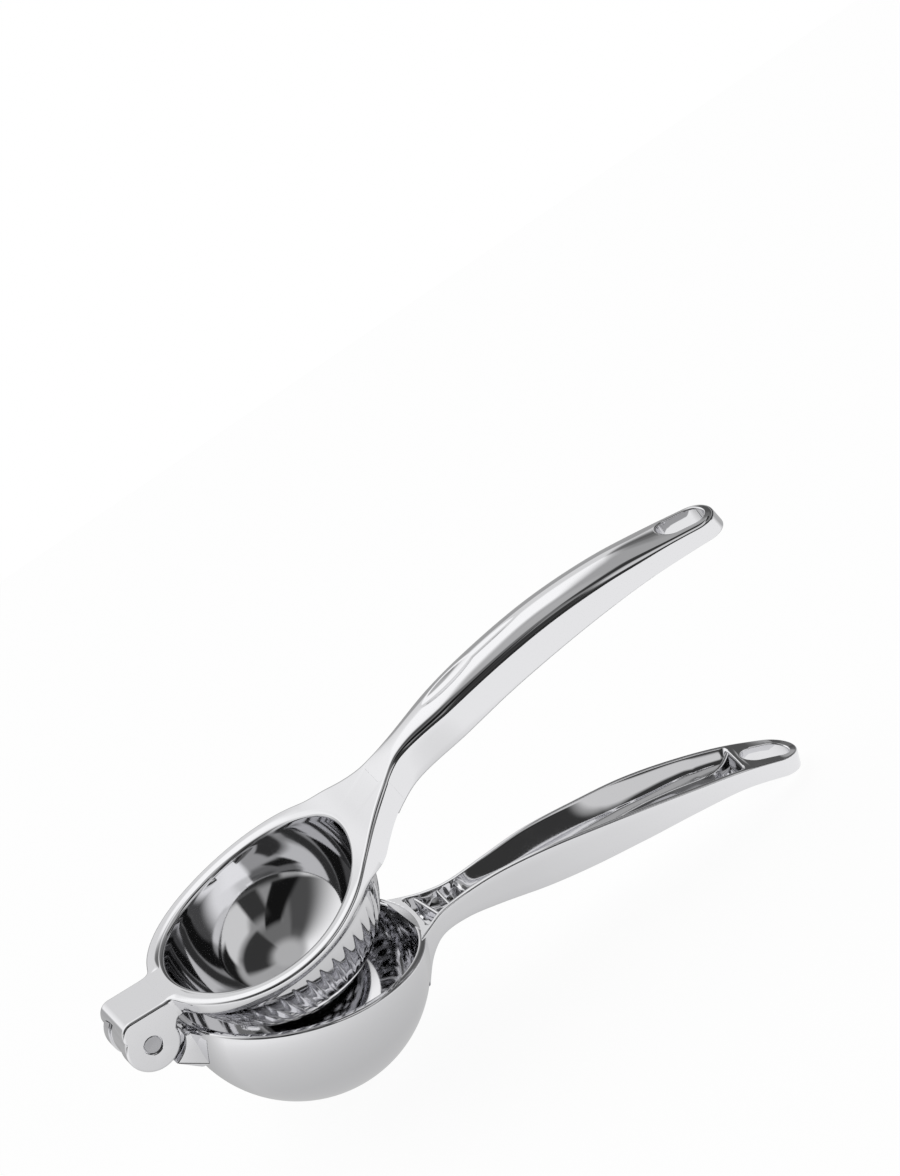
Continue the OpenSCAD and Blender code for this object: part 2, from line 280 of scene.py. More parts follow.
@dataclass
class Skin:
    """A closed mesh put together from grids of points."""

    stance: Stance
    blocks: list[tuple[np.ndarray, np.ndarray]] = field(default_factory=list)
    count: int = 0
    most_sides: int = 8
    weld: float = 0.002
    sliver: float = 0.0005

    def add(self, points: Grid, wrap: bool = False, mirror: bool = False) -> "Skin":
        """Adds a grid of points as a sheet of four-sided faces.

        Args:
            points: rows by columns of points in lever millimetres.
            wrap: whether the last column joins the first.
            mirror: whether the sheet is repeated on the other side of Y = 0.

        Returns:
            The skin itself.
        """
        rows, cols = points.shape[:2]
        index = np.arange(rows * cols).reshape(rows, cols)
        if wrap:
            index = np.concatenate([index, index[:, :1]], axis=1)
        faces = np.stack([index[:-1, :-1], index[:-1, 1:], index[1:, 1:], index[1:, :-1]], axis=-1)
        flat = points.reshape(-1, 3)
        self.blocks.append((flat, faces.reshape(-1, 4) + self.count))
        self.count += len(flat)
        if mirror:
            self.add(points[:, ::-1] * np.array([1.0, -1.0, 1.0]), wrap)
        return self

    def build(self, name: str, sharp_deg: float = 40.0) -> bpy.types.Object:
        """Makes the object: welds the sheets, fills flat open ends and turns the faces outwards.

        The faces that fill the ends have many sides, and are the only ones shaded flat.

        Args:
            name: name of the piece.
            sharp_deg: faces that meet at more than this keep a crisp edge.

        Returns:
            The new object, linked to the scene.
        """
        points = self.stance.place(np.concatenate([b[0] for b in self.blocks]))
        faces = np.concatenate([b[1] for b in self.blocks])
        mesh = bpy.data.meshes.new(name)
        mesh.from_pydata(points.tolist(), [], faces.tolist())
        shell = bmesh.new()
        shell.from_mesh(mesh)
        bmesh.ops.remove_doubles(shell, verts=shell.verts, dist=self.weld * MM)
        bmesh.ops.dissolve_degenerate(shell, dist=self.sliver * MM, edges=shell.edges)
        open_edges = [e for e in shell.edges if e.is_boundary]
        if open_edges:
            bmesh.ops.holes_fill(shell, edges=open_edges)
        bmesh.ops.recalc_face_normals(shell, faces=shell.faces)
        shell.to_mesh(mesh)
        left_open = sum(1 for e in shell.edges if not e.is_manifold)
        shell.free()
        mesh.shade_smooth()
        sides = np.zeros(len(mesh.polygons), np.int32)
        mesh.polygons.foreach_get("loop_total", sides)
        mesh.polygons.foreach_set("use_smooth", sides <= self.most_sides)
        mesh.set_sharp_from_angle(angle=math.radians(sharp_deg))
        piece = bpy.data.objects.new(name, mesh)
        bpy.context.scene.collection.objects.link(piece)
        LOG.info("%s: %d faces, %d edges not closed", name, len(mesh.polygons), left_open)
        return piece


def lathe(profile: Loop, steps: int) -> Grid:
    """Surface of revolution about Z: each profile point (radius, height) goes round a full turn.

    Args:
        profile: radius and height of each row.
        steps: columns round the turn.

    Returns:
        Rows by columns of points.
    """
    angle = np.arange(steps) * FULL_TURN / steps
    radius, height = profile[:, :1], profile[:, 1:]
    return stack3(radius * np.cos(angle), radius * np.sin(angle), height)


def arc(centre: Sequence[float], radius: float, start_deg: float, end_deg: float, steps: int) -> Loop:
    """Points of a circular arc in a plane, both ends included."""
    angle = np.radians(np.linspace(start_deg, end_deg, steps))
    return np.stack([centre[0] + radius * np.cos(angle), centre[1] + radius * np.sin(angle)], axis=1)


def plate(section: Callable[[float], Loop], half: float, edge_r: float, rest: Layers) -> Grid:
    """Plate across Y with rounded side edges, its far half being the mirror image of the near one.

    The edge is a quarter circle: an outline at each step, moved inwards by what the circle leaves.

    Args:
        section: outline in X and Z at a distance along Y.
        half: half the plate's width.
        edge_r: radius of the edges.
        rest: outlines and their distances, from the edge to the middle.

    Returns:
        Outlines by points.
    """
    layers: Layers = []
    for turn in np.radians(np.linspace(0, 90, 7)):
        y = -half + edge_r * (1 - math.cos(turn))
        layers.append((shrink(section(y), edge_r * (1 - math.sin(turn))), y))
    layers += rest
    layers += [(loop, -y) for loop, y in reversed(layers[:-1])]
    return np.stack([stack3(loop[:, 0], y, loop[:, 1]) for loop, y in layers])


def upper_edge(
    rim: Loop, out: Loop, radius: np.ndarray, lean: np.ndarray, start_z: np.ndarray, steps: int
) -> list[Grid]:
    """Rounded edge from a leaning upper side to the upright rim: a circular arc in each column.

    Args:
        rim: plan of the upright side.
        out: its outward normals.
        radius: radius of the arc in each column.
        lean: angle at which the upper side falls towards the rim.
        start_z: height at which the arc starts.
        steps: rows of the arc.

    Returns:
        The rows, without the one at the start.
    """
    rows = []
    for turn in np.linspace(0, 1, steps + 1)[1:]:
        tip = (math.pi / 2 - lean) * (1 - turn)
        at = rim - (radius * (1 - np.cos(tip)))[:, None] * out
        rows.append(raised(at, 0.0, start_z - radius * (np.cos(lean) - np.sin(tip))))
    return rows


def lower_edge(rim: Loop, out: Loop, low: np.ndarray, radius: float) -> list[Grid]:
    """Rounded edge from the upright rim to the level underside: a quarter circle in each column.

    Args:
        rim: plan of the upright side.
        out: its outward normals.
        low: height of the underside.
        radius: radius of the edge.

    Returns:
        The rows, without the one at the start.
    """
    rows = []
    for turn in np.radians(np.linspace(0, 90, 6)[1:]):
        at = rim - radius * (1 - math.cos(turn)) * out
        rows.append(raised(at, 0.0, low + radius * (1 - math.sin(turn))))
    return rows


# ---------------------------------------------------------------- sizes shared by the pieces


@dataclass(frozen=True)
class Sizes:
    """Sizes that more than one piece uses, in millimetres from the hinge axis."""

    tilt_deg: float = 13.0847
    open_deg: float = 22.6
    bowl_x: float = 43.8
    bowl_r: float = 33.99
    bowl_wall: float = 2.2
    rim_z: float = 0.6
    hinge_w: float = 16.3
    ear_t: float = 4.0
    ear_r: float = 7.58
    knuckle_r: float = 7.1
    ring_r: float = 33.7
    ring_top_z: float = 3.2
    ring_sweep_r: float = 125.0
    cup_r: float = 28.8
    cup_depth: float = 27.8
    pin_r: float = 2.45
    wall: float = 1.8
    slot_l: float = 12.4
    slot_w: float = 7.8
    slot_margin: float = 2.2

    @property
    def handle_x(self) -> float:
        """Where the bowl handle's own distances start."""
        return self.bowl_x + self.bowl_r

    @property
    def grip_x(self) -> float:
        """Where the press handle's own distances start."""
        return self.bowl_x + self.ring_r

    def stance(self, lever: Lever) -> Stance:
        """Stance of a lever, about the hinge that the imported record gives.

        Args:
            lever: the casting.

        Returns:
            Its turn about the pin and the place of the hinge.
        """
        hinge = tuple(frame["joints"][0]["pos_m"])
        turn = self.tilt_deg if lever is Lever.BOWL else self.tilt_deg - self.open_deg
        return Stance(turn, hinge)


SIZES = Sizes()


@dataclass(frozen=True)
class PressTop:
    """Height of the press lever's upper side, one smooth field for arm, ring and handle."""

    top: Curve = Curve(
        ((-9, 5.6), (-3, 7.4), (2, 8.6), (8.5, 10.3), (18, 13.1), (35, 14.6), (53, 14.9), (69, 14))
        + ((85, 11.5), (100, 7.8), (115, 3.2), (120, 1.6))
    )
    bottom: Curve = Curve(
        ((-9, -2.8), (-2, -0.9), (8, 1.6), (21, 3.3), (45, 5), (62, 4.9), (79, 3.8), (95, 1.8))
        + ((110, -1.4), (120, -4))
    )
    half_w: Curve = Curve(
        ((-9, 22), (-3, 17.5), (2, 13), (8.5, 8.4), (18, 4.9), (35, 6.8), (53, 7.2), (72, 7.2))
        + ((92, 6.8), (112, 6), (120, 5.7))
    )
    crown: Curve = Curve(((-9, 0), (8, 0), (26, 1.3), (45, 2.27), (90, 2.27), (105, 1), (120, 0.3)))
    hump_x: float = -1.7
    hump_z: float = 9.7
    arm_fall: float = 3.1 / 13.7
    length: float = 119.5
    end_r: float = 6.0
    least_half_w: float = 0.5
    sweep_reach: tuple[float, float] = (-40.0, 45.0)
    arm_blend: tuple[float, float] = (8.0, 15.0)
    handle_blend: tuple[float, float] = (66.0, 79.0)
    probe_share: float = 0.8

    def arm(self, x: np.ndarray) -> np.ndarray:
        """Height of the arm: a straight fall from the hump."""
        return self.hump_z - (x - self.hump_x) * self.arm_fall

    def end_share(self, x: np.ndarray) -> np.ndarray:
        """Share of the full width left where the handle's end is rounded: a quarter ellipse."""
        over = np.clip((x - self.length + self.end_r) / self.end_r, 0.0, 1.0)
        return np.sqrt(np.maximum(0.0, 1 - over * over))

    def handle(self, x: np.ndarray, y: np.ndarray) -> np.ndarray:
        """Height of the handle: the top line plus a crown that falls with the square of y.

        Args:
            x: distance from the end of the ring.
            y: distance from the middle.

        Returns:
            The height above the hinge axis.
        """
        width = np.maximum(self.half_w.at(x), self.least_half_w)
        across = np.clip(y / width, -1, 1)
        return self.top.at(x) + self.crown.at(x) * self.end_share(x) * (1 - across * across)

    def at(self, x: np.ndarray, y: np.ndarray) -> np.ndarray:
        """Height at a point: the ring's long hollow arc, blended into arm and handle at its ends.

        Args:
            x: distance from the hinge.
            y: distance from the middle.

        Returns:
            The height above the hinge axis.
        """
        s = SIZES
        away = np.clip(x - s.bowl_x, *self.sweep_reach)
        sweep = s.ring_top_z + s.ring_sweep_r - np.sqrt(s.ring_sweep_r**2 - away * away)
        to_arm = 1 - ramp(*self.arm_blend, x)
        to_handle = ramp(*self.handle_blend, x)
        handle = self.handle(x - s.grip_x, y)
        return sweep * (1 - to_arm - to_handle) + self.arm(x) * to_arm + handle * to_handle

    def lean(self, rim: Loop, out: Loop, radius: np.ndarray, step: float) -> np.ndarray:
        """Angle at which the upper side falls towards the rim, taken just inside its rounded edge.

        Args:
            rim: plan of the rim, from the hinge.
            out: its outward normals.
            radius: radius of the rounded edge in each column.
            step: distance over which the fall is taken.

        Returns:
            The angle in radians, for each column.
        """
        probe = rim - out * (self.probe_share * radius)[:, None]
        ahead = probe + step * out
        fall = self.at(probe[:, 0], probe[:, 1]) - self.at(ahead[:, 0], ahead[:, 1])
        return np.arctan(fall / step)


PRESS_TOP = PressTop()


# ---------------------------------------------------------------- press lever


@dataclass(frozen=True)
class PressCup:
    """Ring, cup and reeded pusher, with the roots of the arm and of the handle.

    A pair of distances, such as arm_side, is where a change along X starts and where it ends. The
    tucks and sinks keep this skin just inside those of the arm and the handle where they overlap.
    """

    steps: int = 704
    spacing: float = 0.15
    arm_end: float = 8.6
    arm_tuck: float = 0.02
    arm_sink: tuple[float, float] = (9.3, 11.0)
    arm_side: tuple[float, float] = (9.5, 13.5)
    arm_low: float = 1.5
    ring_end_deg: float = 38.0
    corner_sigma: tuple[float, float] = (1.0, 2.6)
    wide_start: tuple[float, float] = (50.0, 60.0)
    wide_end: tuple[float, float] = (84.0, 88.0)
    neck_start: float = -6.5
    neck_end: float = 14.0
    neck_tuck: float = 0.05
    neck_tuck_x: tuple[float, float] = (11.0, 13.5)
    neck_side: tuple[float, float] = (66.0, 77.0)
    neck_lift: float = 0.8
    end_sink: float = 0.06
    mouth_w: float = 1.7
    mouth_drop: float = 1.1
    mouth_deg: float = 80.0
    mouth_sink: float = 0.02
    wall_start_z: float = 1.9
    sphere_short_deg: float = 2.5
    edge_r: float = 0.8
    neck_edge_more: float = 0.4
    neck_edge: tuple[float, float] = (70.0, 86.0)
    lean_step: float = 0.3
    bulge: float = 0.12
    bulge_end: tuple[float, float] = (60.0, 72.0)
    least_side: float = 0.3
    web_pull: float = 0.4
    web_push: float = 1.7
    ring_pull: float = 0.42
    pusher_r: float = 31.2
    pusher_z: float = 5.4
    contact_deg: float = 12.8
    reed_end_deg: float = 46.0
    reeds: int = 44
    reed_r: float = 2.35
    reed_depth: float = 1.15
    reed_slope: float = 29.0

    def outline(self) -> tuple[Loop, Loop]:
        """Plan of one side, from the arm round the ring to the neck, and its outward normals.

        The corners are rounded narrowly by the arm and widely by the neck.

        Returns:
            Points and normals, evenly spaced.
        """
        s = SIZES
        half = s.hinge_w / 2 - self.arm_tuck
        ring_start = math.degrees(math.asin(half / s.ring_r))
        ring = arc((s.bowl_x, 0.0), s.ring_r, 180 - ring_start, self.ring_end_deg, 200)
        neck_x = np.linspace(s.grip_x + self.neck_start, s.grip_x + self.neck_end, 60)
        neck = np.stack([neck_x, PRESS_TOP.half_w.at(neck_x - s.grip_x)], axis=1)
        arm = np.array([[self.arm_end, 0.0], [self.arm_end, half]])
        corner = np.array([[neck_x[-1], 0.0]])
        path = resample(np.concatenate([arm, ring, neck, corner]), self.spacing)
        tight, wide = (soften(path, sigma, self.spacing) for sigma in self.corner_sigma)
        share = ramp(*self.wide_start, path[:, 0:1]) * (1 - ramp(*self.wide_end, path[:, 0:1]))
        path = tight * (1 - share) + wide * share
        return path, -right_normals(path, closed=False)

    def near_neck_end(self, x: np.ndarray) -> np.ndarray:
        """Share of the tuck under the handle's own skin: it grows from 0 to 1 near the neck's end."""
        low, high = self.neck_tuck_x
        return ramp(SIZES.grip_x + low, SIZES.grip_x + high, x)

    def edge(self) -> tuple[np.ndarray, Loop, Loop]:
        """Outline by azimuth about the cup: where each ray from the cup's axis leaves the plan.

        Returns:
            Azimuths of the columns, their outline points and their normals.
        """
        s = SIZES
        path, normal = self.outline()
        away = path - np.array([s.bowl_x, 0.0])
        azimuth = np.arctan2(away[:, 1], away[:, 0])
        keep = np.argsort(azimuth)
        angle = (np.arange(self.steps) + 0.5) * FULL_TURN / self.steps - math.pi
        folded = np.abs(angle)
        side = np.where(angle < 0, -1.0, 1.0)
        radius, out_x, out_y = (
            np.interp(folded, azimuth[keep], column[keep])
            for column in (np.hypot(away[:, 0], away[:, 1]), normal[:, 0], normal[:, 1])
        )
        point = np.stack([s.bowl_x + radius * np.cos(angle), radius * np.sin(angle)], axis=1)
        out = np.stack([out_x, out_y * side], axis=1)
        out /= np.linalg.norm(out, axis=1, keepdims=True)
        return angle, point - out * self.neck_tuck * self.near_neck_end(point[:, 0:1]), out

    def inside(self, angle: np.ndarray, mouth_z: np.ndarray) -> Grid:
        """Cup from its lowest point up: a sphere, a short straight wall and an eased mouth.

        The sphere's radius is that of a cap as deep and as wide as the cup.

        Args:
            angle: azimuths of the columns.
            mouth_z: height of the mouth in each column.

        Returns:
            Rows from the lowest point to the mouth.
        """
        s = SIZES
        drop = (s.cup_r**2 - s.cup_depth**2) / (2 * s.cup_depth)
        radius = s.cup_depth + drop
        level = math.degrees(math.asin(-drop / radius))
        sphere = arc((0.0, s.ring_top_z + drop), radius, POLE_DEG, level - self.sphere_short_deg, 26)
        rows = [stack3(r * np.cos(angle), r * np.sin(angle), z) for r, z in sphere]
        wall_z = mouth_z - self.mouth_drop
        middle_z = (wall_z + self.wall_start_z) / 2
        rows.append(stack3(s.cup_r * np.cos(angle), s.cup_r * np.sin(angle), middle_z))
        for turn in np.radians(np.linspace(0, self.mouth_deg, 7)):
            out = s.cup_r + self.mouth_w * (1 - math.cos(turn))
            lift = wall_z + self.mouth_drop * math.sin(turn)
            rows.append(stack3(out * np.cos(angle), out * np.sin(angle), lift))
        return np.stack(rows) + np.array([s.bowl_x, 0.0, 0.0])

    def reeded(self, angle: np.ndarray, slope: np.ndarray) -> np.ndarray:
        """Distance of the pusher's skin from its centre: crests of round reeds, cut straight.

        A ray is carried out to the reeds, which are rods of one radius laid along the slope at
        which the valleys are deepest, and it stops at the pusher's own radius.

        Args:
            angle: azimuth of the ray.
            slope: angle of the ray below the horizontal, in radians.

        Returns:
            The distance along each ray.
        """
        pitch = FULL_TURN / self.reeds
        near = (angle + pitch / 2) % pitch - pitch / 2
        tilt = math.radians(self.reed_slope)
        flat = np.cos(slope) * np.cos(near)
        along = flat * math.cos(tilt) + np.sin(slope) * math.sin(tilt)
        aside = np.cos(slope) * np.sin(near)
        half = math.pi * self.pusher_r * math.cos(tilt) / self.reeds
        reach = np.full(np.broadcast(angle, slope).shape, self.pusher_r)
        for _ in range(3):
            gap = half - np.abs(aside * reach)
            rod = np.sqrt(np.maximum(self.reed_r**2 - gap**2, 0.0)) - self.reed_r
            level = self.pusher_r + np.maximum(rod, -self.reed_depth)
            reach = np.minimum(self.pusher_r, level / np.maximum(along, 0.2))
        return reach

    def grid(self) -> Grid:
        """Whole skin: cup, ring top, rounded edge, side, underside and reeded pusher.

        Returns:
            Rows from the cup's lowest point to the pusher's, by columns round the cup's axis.
        """
        angle, rim, out = self.edge()
        x = rim[:, 0]
        mouth_r = SIZES.cup_r + self.mouth_w * (1 - math.cos(math.radians(self.mouth_deg)))
        mouth = np.stack([SIZES.bowl_x + mouth_r * np.cos(angle), mouth_r * np.sin(angle)], axis=1)
        mouth_z = PRESS_TOP.at(mouth[:, 0], mouth[:, 1]) - self.mouth_sink
        sink = self.end_sink * (1 - ramp(*self.arm_sink, x)) + self.end_sink * self.near_neck_end(x)
        edge_r = self.edge_r + self.neck_edge_more * ramp(*self.neck_edge, x)
        lean = PRESS_TOP.lean(rim, out, edge_r, self.lean_step)
        start = rim - (edge_r * (1 - np.sin(lean)))[:, None] * out
        start_z = PRESS_TOP.at(start[:, 0], start[:, 1]) - sink
        edges = upper_edge(rim, out, edge_r, lean, start_z, 6)
        web = 1 - ramp(*self.arm_side, x) + ramp(*self.neck_side, x)
        sides = self.side(rim, edges[-1][:, 2])
        return np.concatenate(
            [
                self.inside(angle, mouth_z),
                self.ring_top(mouth, start, sink),
                np.stack(edges),
                sides,
                self.underside(angle, rim, sides[-1][:, 2], web),
                self.pusher(angle),
            ]
        )

    def ring_top(self, mouth: Loop, start: Loop, sink: np.ndarray) -> Grid:
        """Ring's upper side from the mouth to the rounded edge: the shared height, faintly bulged.

        Args:
            mouth: plan of the cup's mouth.
            start: plan of the line where the rounded edge starts.
            sink: how far the outer end lies below the shared height.

        Returns:
            Rows from the mouth outwards.
        """
        rows = []
        for share in np.linspace(0.03, 1, 34):
            at = mouth + (start - mouth) * share
            ease = self.mouth_sink * (1 - share) + sink * share
            bulge = self.bulge * math.sin(math.pi * share) * (1 - ramp(*self.bulge_end, at[:, 0]))
            rows.append(raised(at, 0.0, PRESS_TOP.at(at[:, 0], at[:, 1]) - ease + bulge))
        return np.stack(rows)

    def side(self, rim: Loop, high: np.ndarray) -> Grid:
        """Upright side, which reaches lowest by the arm and the neck.

        Args:
            rim: plan of the side.
            high: height at which it starts.

        Returns:
            Rows downwards.
        """
        ring_low = np.minimum(high - self.least_side, SIZES.ring_top_z)
        neck_low = PRESS_TOP.bottom.at(rim[:, 0] - SIZES.grip_x) + self.neck_lift
        to_arm = 1 - ramp(*self.arm_side, rim[:, 0])
        to_neck = ramp(*self.neck_side, rim[:, 0])
        low = ring_low * (1 - to_arm - to_neck) + self.arm_low * to_arm + neck_low * to_neck
        return np.stack([raised(rim, 0.0, high + (low - high) * share) for share in (0.33, 0.67, 1.0)])

    def underside(self, angle: np.ndarray, rim: Loop, low: np.ndarray, web: np.ndarray) -> Grid:
        """Underside from the side's foot to the pusher: a cubic that leaves the side straight down
        and meets the pusher along its slope.

        Args:
            angle: azimuths of the columns.
            rim: plan of the side.
            low: height of the side's foot.
            web: share of each column that lies in the web under the arm or the neck.

        Returns:
            Rows from below the foot to the pusher.
        """
        contact = math.radians(self.contact_deg)
        meet_r = self.pusher_r * math.cos(contact)
        meet_z = self.pusher_z - self.pusher_r * math.sin(contact)
        foot = raised(rim, 0.0, low)
        meet = stack3(SIZES.bowl_x + meet_r * np.cos(angle), meet_r * np.sin(angle), meet_z)
        fall = np.maximum(low - meet_z, 0.5)
        reach = (self.ring_pull * fall)[:, None]
        web = web[:, None]
        first = foot - np.array([0.0, 0.0, 1.0]) * (reach * (1 - web) + self.web_pull * web)
        rise = stack3(math.sin(contact) * np.cos(angle), math.sin(contact) * np.sin(angle), math.cos(contact))
        last = meet + rise * (reach * (1 - web) + self.web_push * web)
        return np.stack([cubic((foot, first, last, meet), t) for t in np.linspace(0, 1, 11)[1:]])

    def pusher(self, angle: np.ndarray) -> Grid:
        """Reeded half-round from the contact line down to its lowest point.

        Args:
            angle: azimuths of the columns.

        Returns:
            Rows downwards, closer together over the reeds.
        """
        reeded = np.linspace(self.contact_deg, self.reed_end_deg, 30)[1:]
        plain = np.linspace(self.reed_end_deg, -POLE_DEG, 16)[1:]
        slopes = np.radians(np.concatenate([reeded, plain]))[:, None]
        reach = self.reeded(angle[None, :], slopes)
        flat = reach * np.cos(slopes)
        level = self.pusher_z - reach * np.sin(slopes)
        return stack3(SIZES.bowl_x + flat * np.cos(angle), flat * np.sin(angle), level)

    def build(self) -> bpy.types.Object:
        """Makes the piece."""
        return Skin(SIZES.stance(Lever.PRESS)).add(self.grid(), wrap=True).build("press_cup")


@dataclass(frozen=True)
class PressArm:
    """Arm, hood and two ears in one closed skin, lofted along the pin."""

    root_x: float = 13.6
    root_z: float = 2.2
    top_end_x: float = -0.9
    top_sink: float = 0.03
    root_sink: float = 0.7
    root_sink_x: tuple[float, float] = (10.0, 16.0)
    edge_r: float = 0.75
    hood: tuple[tuple[float, float], ...] = ((-2.9, 9.85), (-4.95, 8.6), (-5.5, 5.5))
    hood_lip_z: float = 5.7
    hood_arch: float = 2.4
    lip_r: float = 0.6
    ear_gap_deg: float = 2.0
    ear_end_deg: float = 354.0
    slot_gap: float = 0.6
    slot_deg: tuple[float, float] = (116.0, 7.0)
    foot: tuple[float, float] = (9.2, 0.9)
    counterbore_r: float = 2.8
    counterbore_depth: float = 1.5

    def hood_line(self, start: Loop, y: float) -> tuple[Loop, Loop]:
        """Hood from the arm's top down to its lip: a cubic, cut off where the lip's rounding starts.

        Args:
            start: end of the arm's top.
            y: distance from the middle; the lip arches up towards the middle.

        Returns:
            Points of the hood and the corner that the lip's rounding replaces.
        """
        lip_z = self.hood_lip_z + self.hood_arch * (1 - (y / (SIZES.hinge_w / 2)) ** 2)
        t = np.linspace(0, 1, 200)[:, None]
        line = cubic([start] + [np.array(knot) for knot in self.hood], t)
        stops = [np.interp(-z, -line[:, 1], t[:, 0]) for z in (lip_z + self.lip_r, lip_z)]
        share = np.append(np.linspace(0, stops[0], 21)[1:], stops[1])
        line = np.stack([np.interp(share, t[:, 0], line[:, k]) for k in range(2)], axis=1)
        return line[:-1], line[-1]

    def section(self, y: float, between: bool) -> Loop:
        """Outline across the pin at one distance along it.

        The loop runs along the arm's top to the hood, down to its lip, and back either round the
        ear or, between the ears, along the hollow over the knuckle.

        Args:
            y: distance from the middle.
            between: whether the section lies between the ears.

        Returns:
            Points (x, z), always the same number.
        """
        x = np.linspace(self.root_x, self.top_end_x, 60)
        sag = self.top_sink + self.root_sink * ramp(*self.root_sink_x, x)
        top = np.stack([x, PRESS_TOP.at(x, np.zeros_like(x)) - sag], axis=1)
        root_end = (self.root_x, self.root_z)
        root = np.linspace(root_end, top[0], 5)[:-1]
        hood, corner = self.hood_line(top[-1], y)
        if between:
            sweep = arc((0.0, 0.0), SIZES.knuckle_r + self.slot_gap, *self.slot_deg, 96)
        else:
            start = math.degrees(math.atan2(corner[1], corner[0])) + self.ear_gap_deg
            sweep = arc((0.0, 0.0), SIZES.ear_r, start, self.ear_end_deg, 96)
        inward = sweep[0] - corner
        reach = min(1.0, self.lip_r / float(np.linalg.norm(inward)))
        turn = np.linspace(0, 1, 7)[1:, None]
        far = corner + inward * reach
        bent = hood[-1] * (1 - turn) ** 2 + corner * 2 * turn * (1 - turn) + far * turn**2
        lip = np.concatenate([bent[:-1], np.linspace(bent[-1], sweep[0], 4)[:-1]])
        foot = resample(np.array([sweep[-1], self.foot, root_end]), 0.1)
        foot = foot[np.linspace(0, len(foot) - 1, 10).astype(int)][1:-1]
        return np.concatenate([root, top, hood, lip, sweep, foot])

    def grid(self) -> Grid:
        """Sections from one ear's outer face across to the other's.

        Returns:
            Sections by points.
        """
        half = SIZES.hinge_w / 2
        inner = half - SIZES.ear_t
        rest = [(self.section(y, False), y) for y in np.linspace(-half + self.edge_r, -inner, 9)[1:]]
        rest += [(self.section(y, True), y) for y in np.linspace(-inner, 0, 12)]
        return plate(lambda y: self.section(y, False), half, self.edge_r, rest)

    def build(self) -> bpy.types.Object:
        """Makes the piece, and sinks the counterbores round the pin's ends.

        Returns:
            The piece.
        """
        stance = SIZES.stance(Lever.PRESS)
        arm = Skin(stance).add(self.grid(), wrap=True).build("press_arm", 50)
        half, bore = SIZES.hinge_w / 2, Skin(stance)
        depth = half - self.counterbore_depth
        for side in (-1.0, 1.0):
            depths = np.array([half + 1, half + 1, depth, depth])
            radii = np.array([AXIS_R, self.counterbore_r, self.counterbore_r, AXIS_R])
            turned = lathe(np.stack([radii, depths], axis=1), 64)
            laid = np.stack([turned[..., 0], turned[..., 2] * side, turned[..., 1]], axis=-1)
            bore.add(laid, wrap=True)
        cut_away(arm, bore.build("ear_bores"))
        even_normals(arm)
        return arm


@dataclass(frozen=True)
class HandlePlan:
    """Plan of one half of a handle: pairs of points on its outline and along its middle."""

    half_w: Curve
    start: float
    length: float
    end_r: float
    stations: int

    def slot_ends(self) -> tuple[float, float]:
        """Where the hanging slot starts and ends."""
        end = self.length - SIZES.slot_margin
        return end - SIZES.slot_l, end

    def pairs(self, ease: float) -> tuple[Loop, Loop, Loop, int]:
        """Outline points, outward normals, middle points and the first column beside the slot.

        Args:
            ease: width of the rounding round the slot.

        Returns:
            Outline, normals, inner points moved back from the slot by the rounding, and the index.
        """
        slot_a, slot_b = self.slot_ends()
        radius = SIZES.slot_w / 2
        x = np.linspace(self.start, slot_a - ease - 0.4, self.stations)
        before = np.stack([x, self.half_w.at(x)], axis=1)
        middle = np.stack([x, np.zeros_like(x)], axis=1)
        quarter = np.linspace(0, math.pi / 2, 15)
        first_x = slot_a + radius * (1 - np.cos(quarter))
        straight = np.linspace(slot_a + radius, slot_b - radius, 12)[1:-1]
        bend_start = self.length - self.end_r
        last = np.linspace(0, math.pi / 2, 22)
        beside = [first_x[-1] + 0.4, bend_start - 0.3]
        outline_x = np.concatenate([first_x, np.interp(straight, [straight[0], straight[-1]], beside)])
        side = np.stack([outline_x, self.half_w.at(outline_x)], axis=1)
        tip_x = bend_start + self.end_r * np.sin(last)
        tip = np.stack([tip_x, self.half_w.at(tip_x) * np.cos(last)], axis=1)
        inner = radius + ease
        slot = np.concatenate(
            [
                np.stack([slot_a + radius - inner * np.cos(quarter), inner * np.sin(quarter)], axis=1),
                np.stack([straight, np.full_like(straight, inner)], axis=1),
                np.stack([slot_b - radius + inner * np.sin(last), inner * np.cos(last)], axis=1),
            ]
        )
        outline = np.concatenate([before, side, tip])
        normal = -right_normals(outline, closed=False)
        normal[-1] = (1.0, 0.0)
        return outline, normal, np.concatenate([middle, slot]), len(before)

    def slot_wall(self, edge: Loop, top: np.ndarray, low: np.ndarray, ease: float) -> Grid:
        """Wall of the hanging slot, eased into both faces by quarter circles.

        Args:
            edge: plan of the slot's edge in the two faces.
            top: height of the upper face there.
            low: height of the lower face there.
            ease: radius of the quarter circles.

        Returns:
            Rows from the upper face to the lower.
        """
        slot_a, slot_b = self.slot_ends()
        radius = SIZES.slot_w / 2
        core_x = np.clip(edge[:, 0], slot_a + radius, slot_b - radius)
        toward = np.stack([core_x, np.zeros_like(core_x)], axis=1) - edge
        toward = toward / np.maximum(np.linalg.norm(toward, axis=1, keepdims=True), 1e-6)
        rows = []
        for level, way, turns in ((top, -1.0, (0, 90)), (low, 1.0, (90, 0))):
            for turn in np.radians(np.linspace(*turns, 6)):
                at = edge + toward * ease * math.sin(turn)
                rows.append(raised(at, 0.0, level + way * ease * (1 - math.cos(turn))))
        return np.stack(rows)


